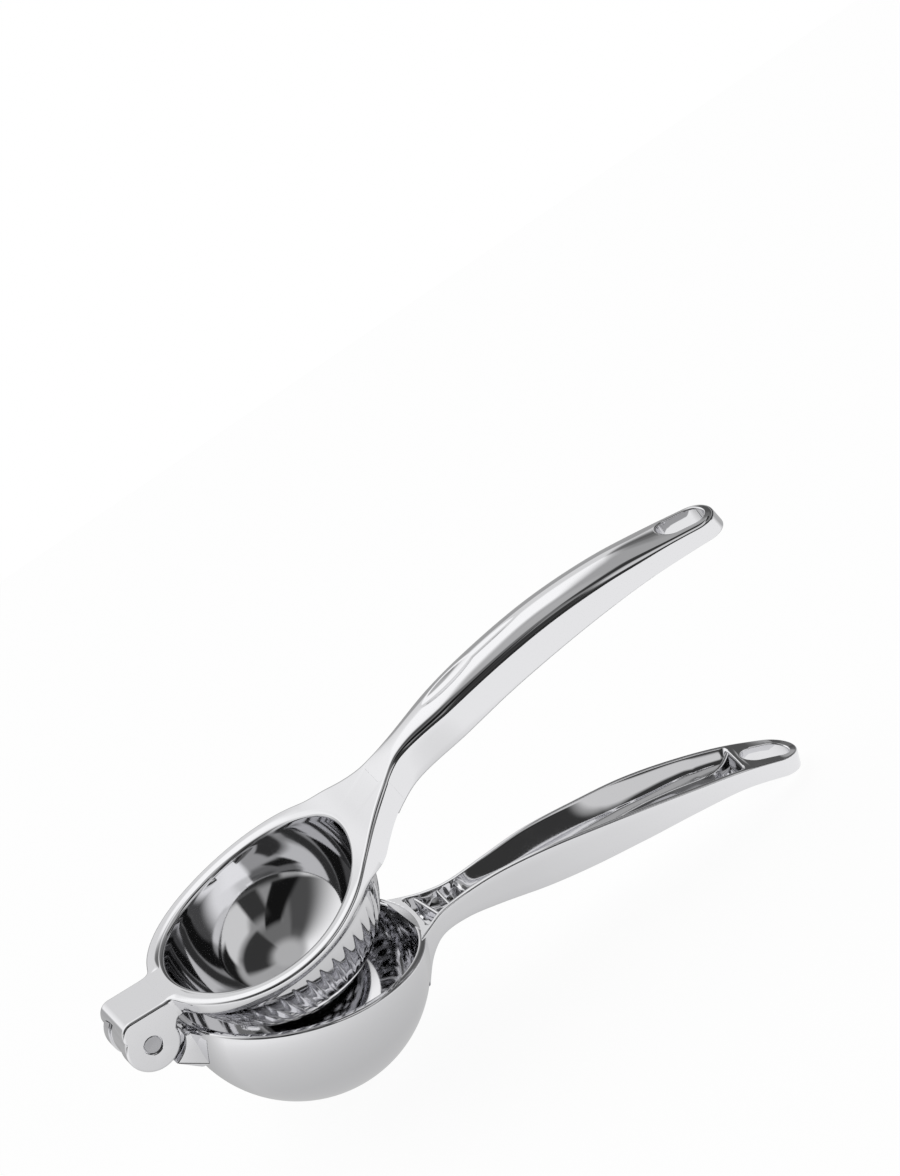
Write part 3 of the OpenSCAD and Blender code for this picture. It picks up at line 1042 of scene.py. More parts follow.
@dataclass(frozen=True)
class PressHandle:
    """Crowned grip of the press lever, hollow below, with a thumb rest and a hanging slot."""

    start: float = 8.5
    root_x: tuple[float, float] = (9.0, 12.0)
    root_sink: float = 0.06
    root_tuck: float = 0.05
    edge_r: Curve = Curve(((8.5, 1.2), (13, 1.2), (26, 2.7), (92, 2.7), (106, 1.5), (119.5, 1.3)))
    lean_step: float = 0.2
    low_r: float = 0.8
    slot_ease: float = 0.45
    thumb_x: float = 37.2
    thumb_l: float = 21.0
    thumb_r: float = 4.4
    thumb_depth: float = 1.1
    thumb_blend: float = 0.06
    beyond_thumb: float = 9.0
    hollow_a: float = 15.0
    hollow_b: float = 103.1
    hollow_rise: tuple[float, float] = (3.0, 1.6)
    hollow_edge_r: float = 0.35
    roof_round: float = 0.55

    def top(self, x: np.ndarray, y: np.ndarray) -> np.ndarray:
        """Height of the back: the crowned top with the thumb rest, a spindle along X, let in.

        Args:
            x: distance from the end of the ring.
            y: distance from the middle.

        Returns:
            The height above the hinge axis.
        """
        back = PRESS_TOP.at(x + SIZES.grip_x, y) - self.root_sink * (1 - ramp(*self.root_x, x))
        spindle = ((self.thumb_l / 2) ** 2 + self.thumb_depth**2) / (2 * self.thumb_depth)
        along = np.clip(x - self.thumb_x, -self.thumb_l / 2 - 1, self.thumb_l / 2 + 1)
        radius = self.thumb_r - spindle + np.sqrt(spindle**2 - along**2)
        surface = PRESS_TOP.handle(np.array(self.thumb_x), np.array(0.0))
        centre = surface + self.thumb_r - self.thumb_depth
        inside = radius**2 - y**2
        dish = centre - np.sqrt(np.maximum(inside, 0.0)) + np.where(inside > 0, 0.0, self.beyond_thumb)
        return soft_min(back, dish, self.thumb_blend)

    def build(self) -> bpy.types.Object:
        """Makes the piece from two sheets and their mirror images: the skin and the slot's wall.

        Returns:
            The piece.
        """
        plan = HandlePlan(PRESS_TOP.half_w, self.start, PRESS_TOP.length, PRESS_TOP.end_r, 250)
        rim, out, inner, first = plan.pairs(self.slot_ease)
        beside = rim[first:, 0]
        rim = rim - out * self.root_tuck * (1 - ramp(*self.root_x, rim[:, 0:1]))
        grip = np.array([SIZES.grip_x, 0.0])
        edge_r = self.edge_r.at(rim[:, 0])
        lean = PRESS_TOP.lean(rim + grip, out, edge_r, self.lean_step)
        start = rim - (edge_r * (1 - np.sin(lean)))[:, None] * out
        rows = []
        for share in np.linspace(0, 1, 22):
            at = inner + (start - inner) * share
            rows.append(raised(at, 0.0, self.top(at[:, 0], at[:, 1])))
        rows += upper_edge(rim, out, edge_r, lean, self.top(start[:, 0], start[:, 1]), 14)
        low = PRESS_TOP.bottom.at(rim[:, 0])
        high = rows[-1][:, 2]
        for share in np.linspace(0, 1, 6)[1:]:
            rows.append(raised(rim, 0.0, high + (low + self.low_r - high) * share))
        rows += lower_edge(rim, out, low, self.low_r)
        rows += self.hollow(rim[:, 0], rim - self.low_r * out, inner)
        edge = inner[first:]
        wall = plan.slot_wall(
            edge, self.top(edge[:, 0], edge[:, 1]), PRESS_TOP.bottom.at(beside), self.slot_ease
        )
        shift = np.array([SIZES.grip_x, 0.0, 0.0])
        skin = Skin(SIZES.stance(Lever.PRESS)).add(np.stack(rows) + shift, mirror=True)
        return skin.add(wall + shift, mirror=True).build("press_handle", 45)

    def hollow(self, x: np.ndarray, foot: Loop, inner: Loop) -> list[Grid]:
        """Underside, from the lower edge to the middle, pressed up into the hollow.

        The hollow's section is a flat rim, a small rounding, a wall, a rounded corner and a roof;
        its depth grows smoothly from nothing at both ends.

        Args:
            x: distance of each column along the handle.
            foot: plan of the lower edge.
            inner: plan of the middle line and of the slot's edge.

        Returns:
            Rows inwards.
        """
        half = np.maximum(PRESS_TOP.half_w.at(x) - SIZES.wall, PRESS_TOP.least_half_w)
        roof = PRESS_TOP.top.at(x) + PRESS_TOP.crown.at(x) / 2 - SIZES.wall
        floor = PRESS_TOP.bottom.at(x)
        near, far = self.hollow_rise
        deep = ramp(self.hollow_a, self.hollow_a + near, x)
        deep = deep * (1 - ramp(self.hollow_b - far, self.hollow_b, x))
        corner = self.roof_round * half
        edge_r = self.hollow_edge_r
        steps: list[tuple[np.ndarray, np.ndarray]] = [(half + edge_r, floor)]
        for turn in np.radians((30, 60, 90)):
            steps.append((half + edge_r * (1 - math.sin(turn)), floor + edge_r * (1 - math.cos(turn))))
        for share in (0.3, 0.6, 1.0):
            steps.append((half, floor + edge_r + (roof - corner - floor - edge_r) * share))
        for turn in np.radians(np.linspace(15, 90, 6)):
            steps.append((half - corner * (1 - math.cos(turn)), roof - corner * (1 - math.sin(turn))))
        for share in (0.35, 0.7, 1.0):
            steps.append(((half - corner) * (1 - share), roof))
        span = np.linalg.norm(foot - inner, axis=1)
        rows = []
        for k, (width, level) in enumerate(steps):
            even = 1 - (k + 1) / len(steps)
            ratio = np.clip(width / np.maximum(span, 1e-6), 0, 1)
            share = even + (ratio - even) * ramp(0.0, 0.5, deep)
            at = inner + (foot - inner) * share[:, None]
            rows.append(raised(at, 0.0, floor + (level - floor) * deep))
        return rows


# ---------------------------------------------------------------- bowl lever


@dataclass(frozen=True)
class BowlShell:
    """Half-round bowl with an eased rim and drain holes."""

    steps: int = 288
    rim_outer: float = 0.7
    rim_inner: float = 0.5
    drain_r: float = 1.7
    drain_pitch: float = 6.2
    drain_rings: int = 2
    drill_z: tuple[float, float] = (-40.0, -22.0)
    facing_least: float = 0.97
    near_sphere: float = 0.02
    below_rim: float = 0.05

    def profile(self) -> Loop:
        """Outline of the wall: both round faces, joined over the rim by two eased edges.

        Returns:
            Radius and height from the outer lowest point over the rim to the inner lowest point.
        """
        s = SIZES
        inner_r = s.bowl_r - s.bowl_wall
        top = s.rim_z
        outer = arc((0.0, 0.0), s.bowl_r, POLE_DEG, 0, 60)
        rise = np.array([[s.bowl_r, 0.0]])
        edge = arc((s.bowl_r - self.rim_outer, top - self.rim_outer), self.rim_outer, 8, 90, 8)
        mouth = arc((inner_r + self.rim_inner, top - self.rim_inner), self.rim_inner, 90, 180, 7)
        inner = arc((0.0, 0.0), inner_r, -1.0, POLE_DEG, 60)
        return np.concatenate([outer[:-1], rise, edge, mouth, inner])

    def drains(self) -> Loop:
        """Plan of the drain holes: one in the middle, and round it rings of 6, 12 and so on.

        Returns:
            Places of the holes from the bowl's middle.
        """
        places = [(0.0, 0.0)]
        for ring in range(1, self.drain_rings + 1):
            places += [tuple(p) for p in arc((0, 0), ring * self.drain_pitch, 0, 360, 6 * ring + 1)[:-1]]
        return np.array(places)

    def build(self) -> bpy.types.Object:
        """Makes the piece, then cuts the drain holes and gives the two round faces their exact normals.

        Returns:
            The piece.
        """
        stance = SIZES.stance(Lever.BOWL)
        shift = np.array([SIZES.bowl_x, 0.0, 0.0])
        bowl = Skin(stance).add(lathe(self.profile(), self.steps) + shift, wrap=True).build("bowl_shell")
        low, high = self.drill_z
        rod = np.array([[AXIS_R, low], [self.drain_r, low], [self.drain_r, high], [AXIS_R, high]])
        rods = Skin(stance)
        for x, y in self.drains():
            rods.add(lathe(rod, 40) + shift + np.array([x, y, 0.0]), wrap=True)
        cut_away(bowl, rods.build("drain_rods"))
        self.exact_normals(bowl, stance)
        return bowl

    def exact_normals(self, bowl: bpy.types.Object, stance: Stance) -> None:
        """Sets corner normals of the two round faces along their radius, and keeps the rest.

        Args:
            bowl: the piece.
            stance: stance of the bowl lever.
        """
        mesh = bowl.data
        centre = stance.place(np.array([[SIZES.bowl_x, 0.0, 0.0]]))[0]
        corners, faces = len(mesh.loops), len(mesh.polygons)
        owner = np.zeros(corners, np.int32)
        mesh.loops.foreach_get("vertex_index", owner)
        place = np.zeros(len(mesh.vertices) * 3)
        mesh.vertices.foreach_get("co", place)
        normal, middle = np.zeros(faces * 3), np.zeros(faces * 3)
        mesh.polygons.foreach_get("normal", normal)
        mesh.polygons.foreach_get("center", middle)
        total = np.zeros(faces, np.int32)
        mesh.polygons.foreach_get("loop_total", total)
        current = np.zeros(corners * 3)
        mesh.corner_normals.foreach_get("vector", current)
        radial = place.reshape(-1, 3)[owner] - centre
        reach = np.linalg.norm(radial, axis=1) / MM
        up = stance.place(np.array([[0.0, 0.0, 1.0]]))[0] - stance.place(np.zeros((1, 3)))[0]
        below = (radial @ up) / (MM * MM) < -self.below_rim
        radial /= np.linalg.norm(radial, axis=1, keepdims=True)
        out = middle.reshape(-1, 3) - centre
        out /= np.linalg.norm(out, axis=1, keepdims=True)
        facing = np.repeat((out * normal.reshape(-1, 3)).sum(axis=1), total)
        result = current.reshape(-1, 3)
        for way, radius in ((1.0, SIZES.bowl_r), (-1.0, SIZES.bowl_r - SIZES.bowl_wall)):
            on_face = (way * facing > self.facing_least) & (np.abs(reach - radius) < self.near_sphere)
            result[on_face & below] = way * radial[on_face & below]
        mesh.normals_split_custom_set(result.tolist())


def cut_away(piece: bpy.types.Object, cutter: bpy.types.Object) -> None:
    """Takes the cutter's space out of a piece, and removes the cutter.

    Args:
        piece: the piece.
        cutter: closed mesh of the space to take out.
    """
    cut = piece.modifiers.new("cut", "BOOLEAN")
    cut.object, cut.operation, cut.solver = cutter, "DIFFERENCE", "EXACT"
    apply_modifiers(piece)
    bpy.data.objects.remove(cutter)


def even_normals(piece: bpy.types.Object) -> None:
    """Weights the normals by the faces' areas, so that flat faces look flat up to their edges.

    Args:
        piece: the piece.
    """
    weighted = piece.modifiers.new("weighted", "WEIGHTED_NORMAL")
    weighted.keep_sharp, weighted.weight = True, 100
    apply_modifiers(piece)


def apply_modifiers(piece: bpy.types.Object) -> None:
    """Gives a piece the mesh that its modifiers make, and takes them off.

    Args:
        piece: the piece.
    """
    graph = bpy.context.evaluated_depsgraph_get()
    mesh = bpy.data.meshes.new_from_object(piece.evaluated_get(graph))
    plain = piece.data
    name = plain.name
    piece.modifiers.clear()
    piece.data = mesh
    bpy.data.meshes.remove(plain)
    mesh.name = name


@dataclass(frozen=True)
class BowlArm:
    """Arm from the bowl to the hinge, its tongue between the ears, and the webs beside it."""

    top_z: float = -0.7
    depth: float = 11.5
    low_x: float = 11.0
    gap_r: float = 8.8
    gap_low_deg: float = -59.6
    knuckle_deg: tuple[float, float] = (22.0, 246.0)
    tongue_half: float = 3.9
    tongue_low: tuple[float, float] = (12.4, -11.0)
    edge_r: float = 0.4
    corner_sigma: float = 0.3
    spacing: float = 0.2
    in_wall: tuple[tuple[float, float], ...] = ((11.5, -0.7), (12.0, -6.0), (13.4, -11.6))
    web_top_z: float = -0.75
    web_front: tuple[tuple[float, float, float], ...] = ((9.8, 7.9, 0), (12.3, 12.6, 0), (12.75, 7.9, -10.15))
    web_back: tuple[tuple[float, float, float], ...] = ((12.2, 7.7, 0), (13.3, 12.2, 0), (14.2, 7.7, -9.85))

    def loft(self, corners: Loop, half: float) -> Grid:
        """Plate across Y from an outline in X and Z, with its corners and side edges rounded.

        Args:
            corners: corners of the outline.
            half: half the plate's width.

        Returns:
            Outlines by points.
        """
        outline = resample(np.concatenate([corners, corners[:1]]), self.spacing)[:-1]
        loop = soften(outline, self.corner_sigma, self.spacing, closed=True)
        rest = [(loop, y) for y in np.linspace(-half + self.edge_r, 0, 8)[1:]]
        return plate(lambda _: loop, half, self.edge_r, rest)

    def arm(self) -> Grid:
        """Full-width arm, hollowed round the ears, its end in the bowl's wall.

        Returns:
            Outlines by points.
        """
        upper = math.degrees(math.asin(self.top_z / self.gap_r))
        hollow = arc((0, 0), self.gap_r, self.gap_low_deg, upper, 30)
        corners = np.concatenate([hollow, self.in_wall, [[self.low_x, -self.depth]]])
        return self.loft(corners, SIZES.hinge_w / 2)

    def tongue(self) -> Grid:
        """Knuckle round the pin and the tongue that carries it.

        Returns:
            Outlines by points.
        """
        knuckle = arc((0, 0), SIZES.knuckle_r, *self.knuckle_deg, 80)
        corners = np.concatenate([knuckle, [self.tongue_low], self.in_wall[1::-1]])
        return self.loft(corners, self.tongue_half)

    def gusset(self, side: float) -> Grid:
        """Three-cornered web that fills the corner between the arm's side and the bowl.

        Its three front corners lie on the arm's side and on the bowl, and its back in their metal.

        Args:
            side: 1 for the far side, -1 for the near one.

        Returns:
            Front and back by corners.
        """
        top = np.array([0.0, 0.0, self.web_top_z])
        flip = np.array([1.0, side, 1.0])
        return np.stack([(np.array(face) + top) * flip for face in (self.web_front, self.web_back)])

    def build(self) -> bpy.types.Object:
        """Makes the piece.

        Returns:
            The piece.
        """
        skin = Skin(SIZES.stance(Lever.BOWL))
        for grid in (self.arm(), self.tongue(), self.gusset(1.0), self.gusset(-1.0)):
            skin.add(grid, wrap=True)
        return skin.build("bowl_arm", 30)


@dataclass(frozen=True)
class BowlHandle:
    """Channel handle of the bowl lever: open above, with webs, a trough and a hanging slot."""

    top: Curve = Curve(
        ((-6, 0.6), (0, 1.6), (5, 2.6), (10, 3.4), (22, 6.1), (35, 8.1), (50, 8.8), (64, 9), (78, 8.3))
        + ((92, 6.9), (105, 4.3), (109, 3.4))
    )
    bottom: Curve = Curve(
        ((-6, -14), (-2, -7.4), (2.4, -4.3), (11.7, -3.2), (20, -3), (33, -2.7), (47, -1.7), (61, 0))
        + ((76, 1.4), (91, 1.5), (105, -1), (109, -1.9))
    )
    half_w: Curve = Curve(
        ((-6, 15), (0, 10.3), (5, 7), (12, 5.3), (22, 5.7), (35, 7.6), (50, 9), (64, 10), (78, 9.7))
        + ((92, 8.3), (105, 6.5), (109, 6))
    )
    depth: Curve = Curve(
        ((0.2, 0), (1.3, 1), (11.6, 1), (13.0, 0.3), (15, 0.42), (18, 0.47), (35, 0.53), (48, 0.65))
        + ((59, 0.82), (70, 0.96), (80, 0.96), (90.9, 0.96), (92.1, 0.0), (94, 0))
    )
    bend: Curve = Curve(
        ((0, 5), (10, 5), (14, 1.5), (18, 1.2), (44, 1.2), (56, 1.9), (66, 3.2), (76, 4), (88, 5), (93, 5))
    )
    scoop_line: tuple[tuple[float, float], ...] = (
        ((52.0, -8.6), (58.0, -6.9), (66.0, -5.4), (74.0, -4.6), (82.0, -4.1), (86.0, -2.6), (89.0, 0.6))
        + ((92.4, 5.8),)
    )
    start: float = -5.0
    length: float = 108.5
    end_r: float = 6.5
    edge_r: float = 0.45
    low_r: float = 0.9
    lip_r: float = 0.3
    slot_ease: float = 0.4
    wall: float = 1.3
    least_half_w: float = 0.5
    trough_spread: float = 0.8
    web_t: float = 0.9
    web_drop: float = 0.5
    web_in_wall: float = 0.7
    web_flare: float = 0.3
    web_foot: float = 0.5
    upright: float = 0.9
    webs: tuple[tuple[float, float], ...] = ((3.6, 8.0), (8.2, 0.0))
    scoop_drop: float = 0.4
    scoop_flare: float = 4.0
    scoop_sigma: float = 1.6
    scoop_spacing: float = 0.5

    def build(self) -> bpy.types.Object:
        """Makes the channel with its slot, the two webs at its root and the scoop at its end.

        Returns:
            The piece.
        """
        plan = HandlePlan(self.half_w, self.start, self.length, self.end_r, 240)
        rim, out, inner, first = plan.pairs(self.slot_ease)
        top, low = self.top.at(rim[:, 0]), self.bottom.at(rim[:, 0])
        rows = self.channel(rim, out, inner, top, low)
        for turn in np.radians(np.linspace(90, 0, 6)[1:]):
            at = rim - self.edge_r * (1 - math.cos(turn)) * out
            rows.append(raised(at, 0.0, top - self.edge_r * (1 - math.sin(turn))))
        high = top - self.edge_r
        for share in np.linspace(0, 1, 5)[1:]:
            rows.append(raised(rim, 0.0, high + (low + self.low_r - high) * share))
        rows += lower_edge(rim, out, low, self.low_r)
        foot = rim - self.low_r * out
        for share in np.linspace(1, 0, 7)[1:]:
            rows.append(raised(inner + (foot - inner) * share, 0.0, low))
        shift = np.array([SIZES.handle_x, 0.0, 0.0])
        wall = plan.slot_wall(inner[first:], top[first:], low[first:], self.slot_ease)
        skin = Skin(SIZES.stance(Lever.BOWL)).add(self.start_in_wall(np.stack(rows) + shift), mirror=True)
        skin.add(wall + shift, mirror=True)
        for inset in [self.web(x, turn) for x, turn in self.webs] + [self.scoop()]:
            skin.add(inset, wrap=True)
        return skin.build("bowl_handle", 45)

    def wall_along(self, path: Loop, drop: float, flare: float) -> Grid:
        """Thin upright wall along a line in plan, rounded on top and flared at its foot.

        Each side leaves the floor with the cube of what is left of its upright stretch.

        Args:
            path: points of the line.
            drop: how far the wall ends below the handle's top.
            flare: how much further the foot reaches on the line's left.

        Returns:
            Rows along the line by points round the wall.
        """
        side = right_normals(path, closed=False)
        half, upright = self.web_t / 2, self.upright
        peak = self.top.at(path[:, 0]) - drop - half
        foot = self.bottom.at(path[:, 0]) + SIZES.wall - self.web_foot
        rise = np.linspace(0, upright, 10)
        left = [(-half - flare * (1 - height / upright) ** 3, height, 0.0) for height in rise]
        turns = np.radians(np.linspace(0, 180, 9))
        cap = [(-half * math.cos(turn), 1.0, half * math.sin(turn)) for turn in turns]
        right = [(half + self.web_flare * (1 - height / upright) ** 3, height, 0.0) for height in rise[::-1]]
        points = []
        for across, height, extra in left + cap + right:
            points.append(raised(path + side * across, SIZES.handle_x, foot + (peak - foot) * height + extra))
        return np.stack(points, axis=1)

    def web(self, x: float, turn_deg: float) -> Grid:
        """Straight web across the channel, its ends in the walls.

        Args:
            x: distance of its middle along the handle.
            turn_deg: how far it is turned from square across.

        Returns:
            Rows along the web by points round it.
        """
        turn = math.radians(turn_deg)
        reach = (float(self.half_w.at(np.array(x))) - self.web_in_wall) / math.cos(turn)
        along = np.linspace(-reach, reach, 12)[:, None]
        path = np.array([x, 0.0]) + along * np.array([-math.sin(turn), math.cos(turn)])
        return self.wall_along(path, self.web_drop, self.web_flare)

    def scoop(self) -> Grid:
        """Curved wall that ends the trough like a spoon, slanting from the near rim to the far.

        Returns:
            Rows along the wall by points round it.
        """
        path = resample(np.array(self.scoop_line), self.scoop_spacing)
        path = soften(path, self.scoop_sigma, self.scoop_spacing)
        return self.wall_along(path, self.scoop_drop, self.scoop_flare)

    def start_in_wall(self, grid: Grid) -> Grid:
        """Brings what would stand in the bowl out to a sphere half-way through the bowl's wall.

        Args:
            grid: points of the handle.

        Returns:
            The points, those in the bowl moved along X.
        """
        wall = SIZES.bowl_r - SIZES.bowl_wall / 2
        reach = np.sqrt(np.maximum(wall**2 - grid[..., 1] ** 2 - np.minimum(grid[..., 2], 0.0) ** 2, 0.0))
        grid[..., 0] = np.maximum(grid[..., 0], SIZES.bowl_x + reach)
        return grid

    def channel(self, rim: Loop, out: Loop, inner: Loop, top: np.ndarray, low: np.ndarray) -> list[Grid]:
        """Upper side from the middle out: a trough and the rim's inner edge.

        The trough rises from its floor with a power of the distance from the middle: a high power
        gives upright walls and a flat floor, a low one a rounded hollow.

        Args:
            rim: plan of the upright side.
            out: its outward normals.
            inner: plan of the middle line and of the slot's edge.
            top: height of the rim.
            low: height of the underside.

        Returns:
            Rows outwards.
        """
        x = rim[:, 0]
        half = np.maximum(self.half_w.at(x) - self.wall, self.least_half_w)
        floor = low + SIZES.wall
        deep = np.clip(self.depth.at(x), 0, 1)
        bend = self.bend.at(x)
        steps: list[tuple[np.ndarray, np.ndarray]] = []
        for share in np.linspace(0, 1, 26) ** self.trough_spread:
            steps.append((half * share, floor + (top - self.lip_r - floor) * share**bend))
        for turn in np.radians((30, 60, 90)):
            steps.append((half + self.lip_r * (1 - math.cos(turn)), top - self.lip_r * (1 - math.sin(turn))))
        steps.append((half + self.wall - self.edge_r, top))
        edge = rim - self.edge_r * out
        span = np.linalg.norm(edge - inner, axis=1)
        rows = []
        for k, (width, level) in enumerate(steps):
            even = k / (len(steps) - 1)
            ratio = np.clip(width / np.maximum(span, 1e-6), 0, 1)
            share = even + (ratio - even) * ramp(0.0, 0.25, deep) if even < 1 else np.ones_like(x)
            at = inner + (edge - inner) * share[:, None]
            rows.append(raised(at, 0.0, top + (level - top) * deep))
        return rows


@dataclass(frozen=True)
class HingePin:
    """Plain pin with a small chamfer and a slightly dished face at each end."""

    half: float = 7.75
    chamfer: float = 0.22
    dish: float = 0.06
    dish_shares: tuple[float, float] = (0.55, 0.72)

    def build(self) -> bpy.types.Object:
        """Makes the pin: a profile turned about Z, then laid along Y.

        Returns:
            The piece.
        """
        r = SIZES.pin_r
        inner, outer = self.dish_shares
        dish_z = self.half - self.dish
        profile = [(AXIS_R, dish_z), (r * inner, dish_z), (r * outer, self.half)]
        profile += [(r - self.chamfer, self.half), (r, self.half - self.chamfer)]
        mirrored = [(radius, -height) for radius, height in reversed(profile)]
        turned = lathe(np.array(profile + mirrored), 72)
        laid = np.stack([turned[..., 0], turned[..., 2], -turned[..., 1]], axis=-1)
        return Skin(SIZES.stance(Lever.PRESS)).add(laid, wrap=True).build("pin_turned", 25)


# ---------------------------------------------------------------- finishes


def linear(hex_colour: str) -> tuple[float, float, float, float]:
    """Linear colour of an sRGB hex value, by the sRGB standard's own curve.

    Args:
        hex_colour: a value such as "#D8D8DA".

    Returns:
        Red, green, blue and an alpha of 1.
    """
    parts = [int(hex_colour[i : i + 2], 16) / 255 for i in (1, 3, 5)]
    turned = [c / 12.92 if c <= 0.04045 else ((c + 0.055) / 1.055) ** 2.4 for c in parts]
    return (*turned, 1.0)


def node(
    tree: bpy.types.NodeTree, kind: str, inputs: dict | None = None, **settings: object
) -> bpy.types.Node:
    """Adds a node with its settings, values and links.

    Args:
        tree: node tree to add to.
        kind: the node's type name.
        inputs: values or sockets by the name or number of the input.
        settings: attributes of the node.

    Returns:
        The new node.
    """
    made = tree.nodes.new(kind)
    for key, value in settings.items():
        setattr(made, key, value)
    for key, value in (inputs or {}).items():
        if isinstance(value, bpy.types.NodeSocket):
            tree.links.new(value, made.inputs[key])
        else:
            made.inputs[key].default_value = value
    return made


def blank_tree(owner: bpy.types.Material | bpy.types.World) -> bpy.types.NodeTree:
    """Node tree of a material or of the world, with nothing in it.

    Args:
        owner: the material or the world.

    Returns:
        The empty tree.
    """
    owner.use_nodes = True
    owner.node_tree.nodes.clear()
    return owner.node_tree


@dataclass(frozen=True)
class ChromePlate:
    """Bright chrome over a polished zinc casting: a near mirror with the faint waviness of hand
    polishing and hairlines that only dull the sharpest highlights."""

    name: str = "chrome_plated_zinc"
    colour: str = "#E6E6E8"
    roughness: float = 0.045
    rough_shares: tuple[float, float] = (0.7, 1.7)
    wave_mm: float = 9.0
    wave_depth_mm: float = 0.2
    wave_strength: float = 0.05
    grain_mm: float = 0.35
    grain_range: tuple[float, float] = (0.3, 0.75)

    def make(self) -> bpy.types.Material:
        """Makes the material.

        Returns:
            The material.
        """
        material = bpy.data.materials.new(self.name)
        tree = blank_tree(material)
        place = node(tree, "ShaderNodeTexCoord").outputs["Object"]
        wave = node(
            tree, "ShaderNodeTexNoise", {"Vector": place, "Scale": 1 / (self.wave_mm * MM), "Detail": 1.0}
        )
        grain = node(
            tree, "ShaderNodeTexNoise", {"Vector": place, "Scale": 1 / (self.grain_mm * MM), "Detail": 2.0}
        )
        rough = node(
            tree,
            "ShaderNodeMapRange",
            {
                "Value": grain.outputs["Fac"],
                "From Min": self.grain_range[0],
                "From Max": self.grain_range[1],
                "To Min": self.roughness * self.rough_shares[0],
                "To Max": self.roughness * self.rough_shares[1],
            },
        )
        soft = node(
            tree,
            "ShaderNodeBump",
            {
                "Height": wave.outputs["Fac"],
                "Strength": self.wave_strength,
                "Distance": self.wave_depth_mm * MM,
            },
        )
        metal = node(
            tree,
            "ShaderNodeBsdfPrincipled",
            {
                "Base Color": linear(self.colour),
                "Metallic": 1.0,
                "Roughness": rough.outputs["Result"],
                "Normal": soft.outputs["Normal"],
            },
        )
        node(tree, "ShaderNodeOutputMaterial", {"Surface": metal.outputs["BSDF"]})
        return material


# Scale of a wave texture at which its rings lie one unit apart.
WAVES_PER_UNIT = 0.314


@dataclass(frozen=True)
class TurnedSteel:
    """Stainless pin, faced on a lathe: dull ends with fine rings about the pin's axis."""

    name: str = "turned_stainless_steel"
    colour: str = "#BFBFC2"
    roughness: float = 0.3
    ring_mm: float = 0.22
    ring_depth_mm: float = 0.02
    ring_strength: float = 0.2
    ring_wander: float = 0.4

    def make(self, hinge: Sequence[float]) -> bpy.types.Material:
        """Makes the material, its rings centred on the hinge.

        Args:
            hinge: place of the hinge in metres.

        Returns:
            The material.
        """
        material = bpy.data.materials.new(self.name)
        tree = blank_tree(material)
        place = node(tree, "ShaderNodeTexCoord").outputs["Object"]
        centred = node(
            tree,
            "ShaderNodeMapping",
            {"Vector": place, "Location": (-hinge[0], 0.0, -hinge[2])},
        )
        rings = node(
            tree,
            "ShaderNodeTexWave",
            {
                "Vector": centred.outputs["Vector"],
                "Scale": WAVES_PER_UNIT / (self.ring_mm * MM),
                "Distortion": self.ring_wander,
            },
            wave_type="RINGS",
            rings_direction="Y",
        )
        bump = node(
            tree,
            "ShaderNodeBump",
            {
                "Height": rings.outputs["Fac"],
                "Strength": self.ring_strength,
                "Distance": self.ring_depth_mm * MM,
            },
        )
        metal = node(
            tree,
            "ShaderNodeBsdfPrincipled",
            {
                "Base Color": linear(self.colour),
                "Metallic": 1.0,
                "Roughness": self.roughness,
                "Normal": bump.outputs["Normal"],
            },
        )
        node(tree, "ShaderNodeOutputMaterial", {"Surface": metal.outputs["BSDF"]})
        return material


# ---------------------------------------------------------------- studio


@dataclass(frozen=True)
class Panel:
    """Soft-edged panel of the studio.

    Its bounds are compass degrees from the camera, to the right positive, and degrees of elevation.
    The fades are the widths of its left, right, lower and upper soft edges, and the lean is how many
    degrees it shifts to the right for each degree of elevation.
    """

    azimuth: tuple[float, float]
    elevation: tuple[float, float]
    fades: tuple[float, float, float, float]
    level: float
    lean: float = 0.0


@dataclass(frozen=True)
class Compass:
    """Sockets of a direction's azimuth and elevation in degrees."""

    azimuth: bpy.types.NodeSocket
    elevation: bpy.types.NodeSocket


# Level of the room where no panel hangs, and the panels, each laid over those before it.
ROOM_LEVEL = 0.17
PANELS = (
    Panel((-62, -40), (10, 60), (25, 10, 6, 20), 0.08),
    Panel((172, 215), (2, 38), (4, 10, 4, 10), 0.8),
    Panel((132, 166), (8, 26), (20, 3, 4, 4), 0.1),
    Panel((-142, -114), (10, 66), (26, 56, 4, 18), 1.05),
    Panel((100, 165), (48, 70), (30, 20, 12, 12), 0.42),
    Panel((176, 212), (40, 66), (18, 40, 8, 14), 1.15),
    Panel((-180, 180), (80, 95), (1, 1, 12, 1), 0.5),
    Panel((-20, 72), (14, 46), (4, 10, 4, 12), 0.3),
    Panel((20, 64), (15, 42), (14, 12, 6, 6), 0.7, 1.2),
    Panel((27, 98), (51, 68), (8, 16, 4, 12), 0.04),
    Panel((78, 118), (32, 40), (6, 6, 4, 5), 0.012, 2.0),
    Panel((-33, -9), (14, 50), (9, 4, 3, 8), 0.008, 0.88),
    Panel((-2, 17), (5, 36), (8, 5, 6, 12), 0.04),
    Panel((-180, 180), (3, 10), (1, 1, 2, 5), 0.38),
    Panel((-160, -62), (3, 10), (10, 12, 2, 5), 0.8),
    Panel((-181, 181), (-95, 3), (1, 1, 1, 2), 0.06),
    Panel((-160, -62), (-95, 3), (10, 12, 1, 2), 0.75),
    Panel((168, 215), (-95, 8), (12, 15, 1, 5), 0.4),
    Panel((-30, 60), (-95, 9), (8, 20, 1, 9), 0.03),
)


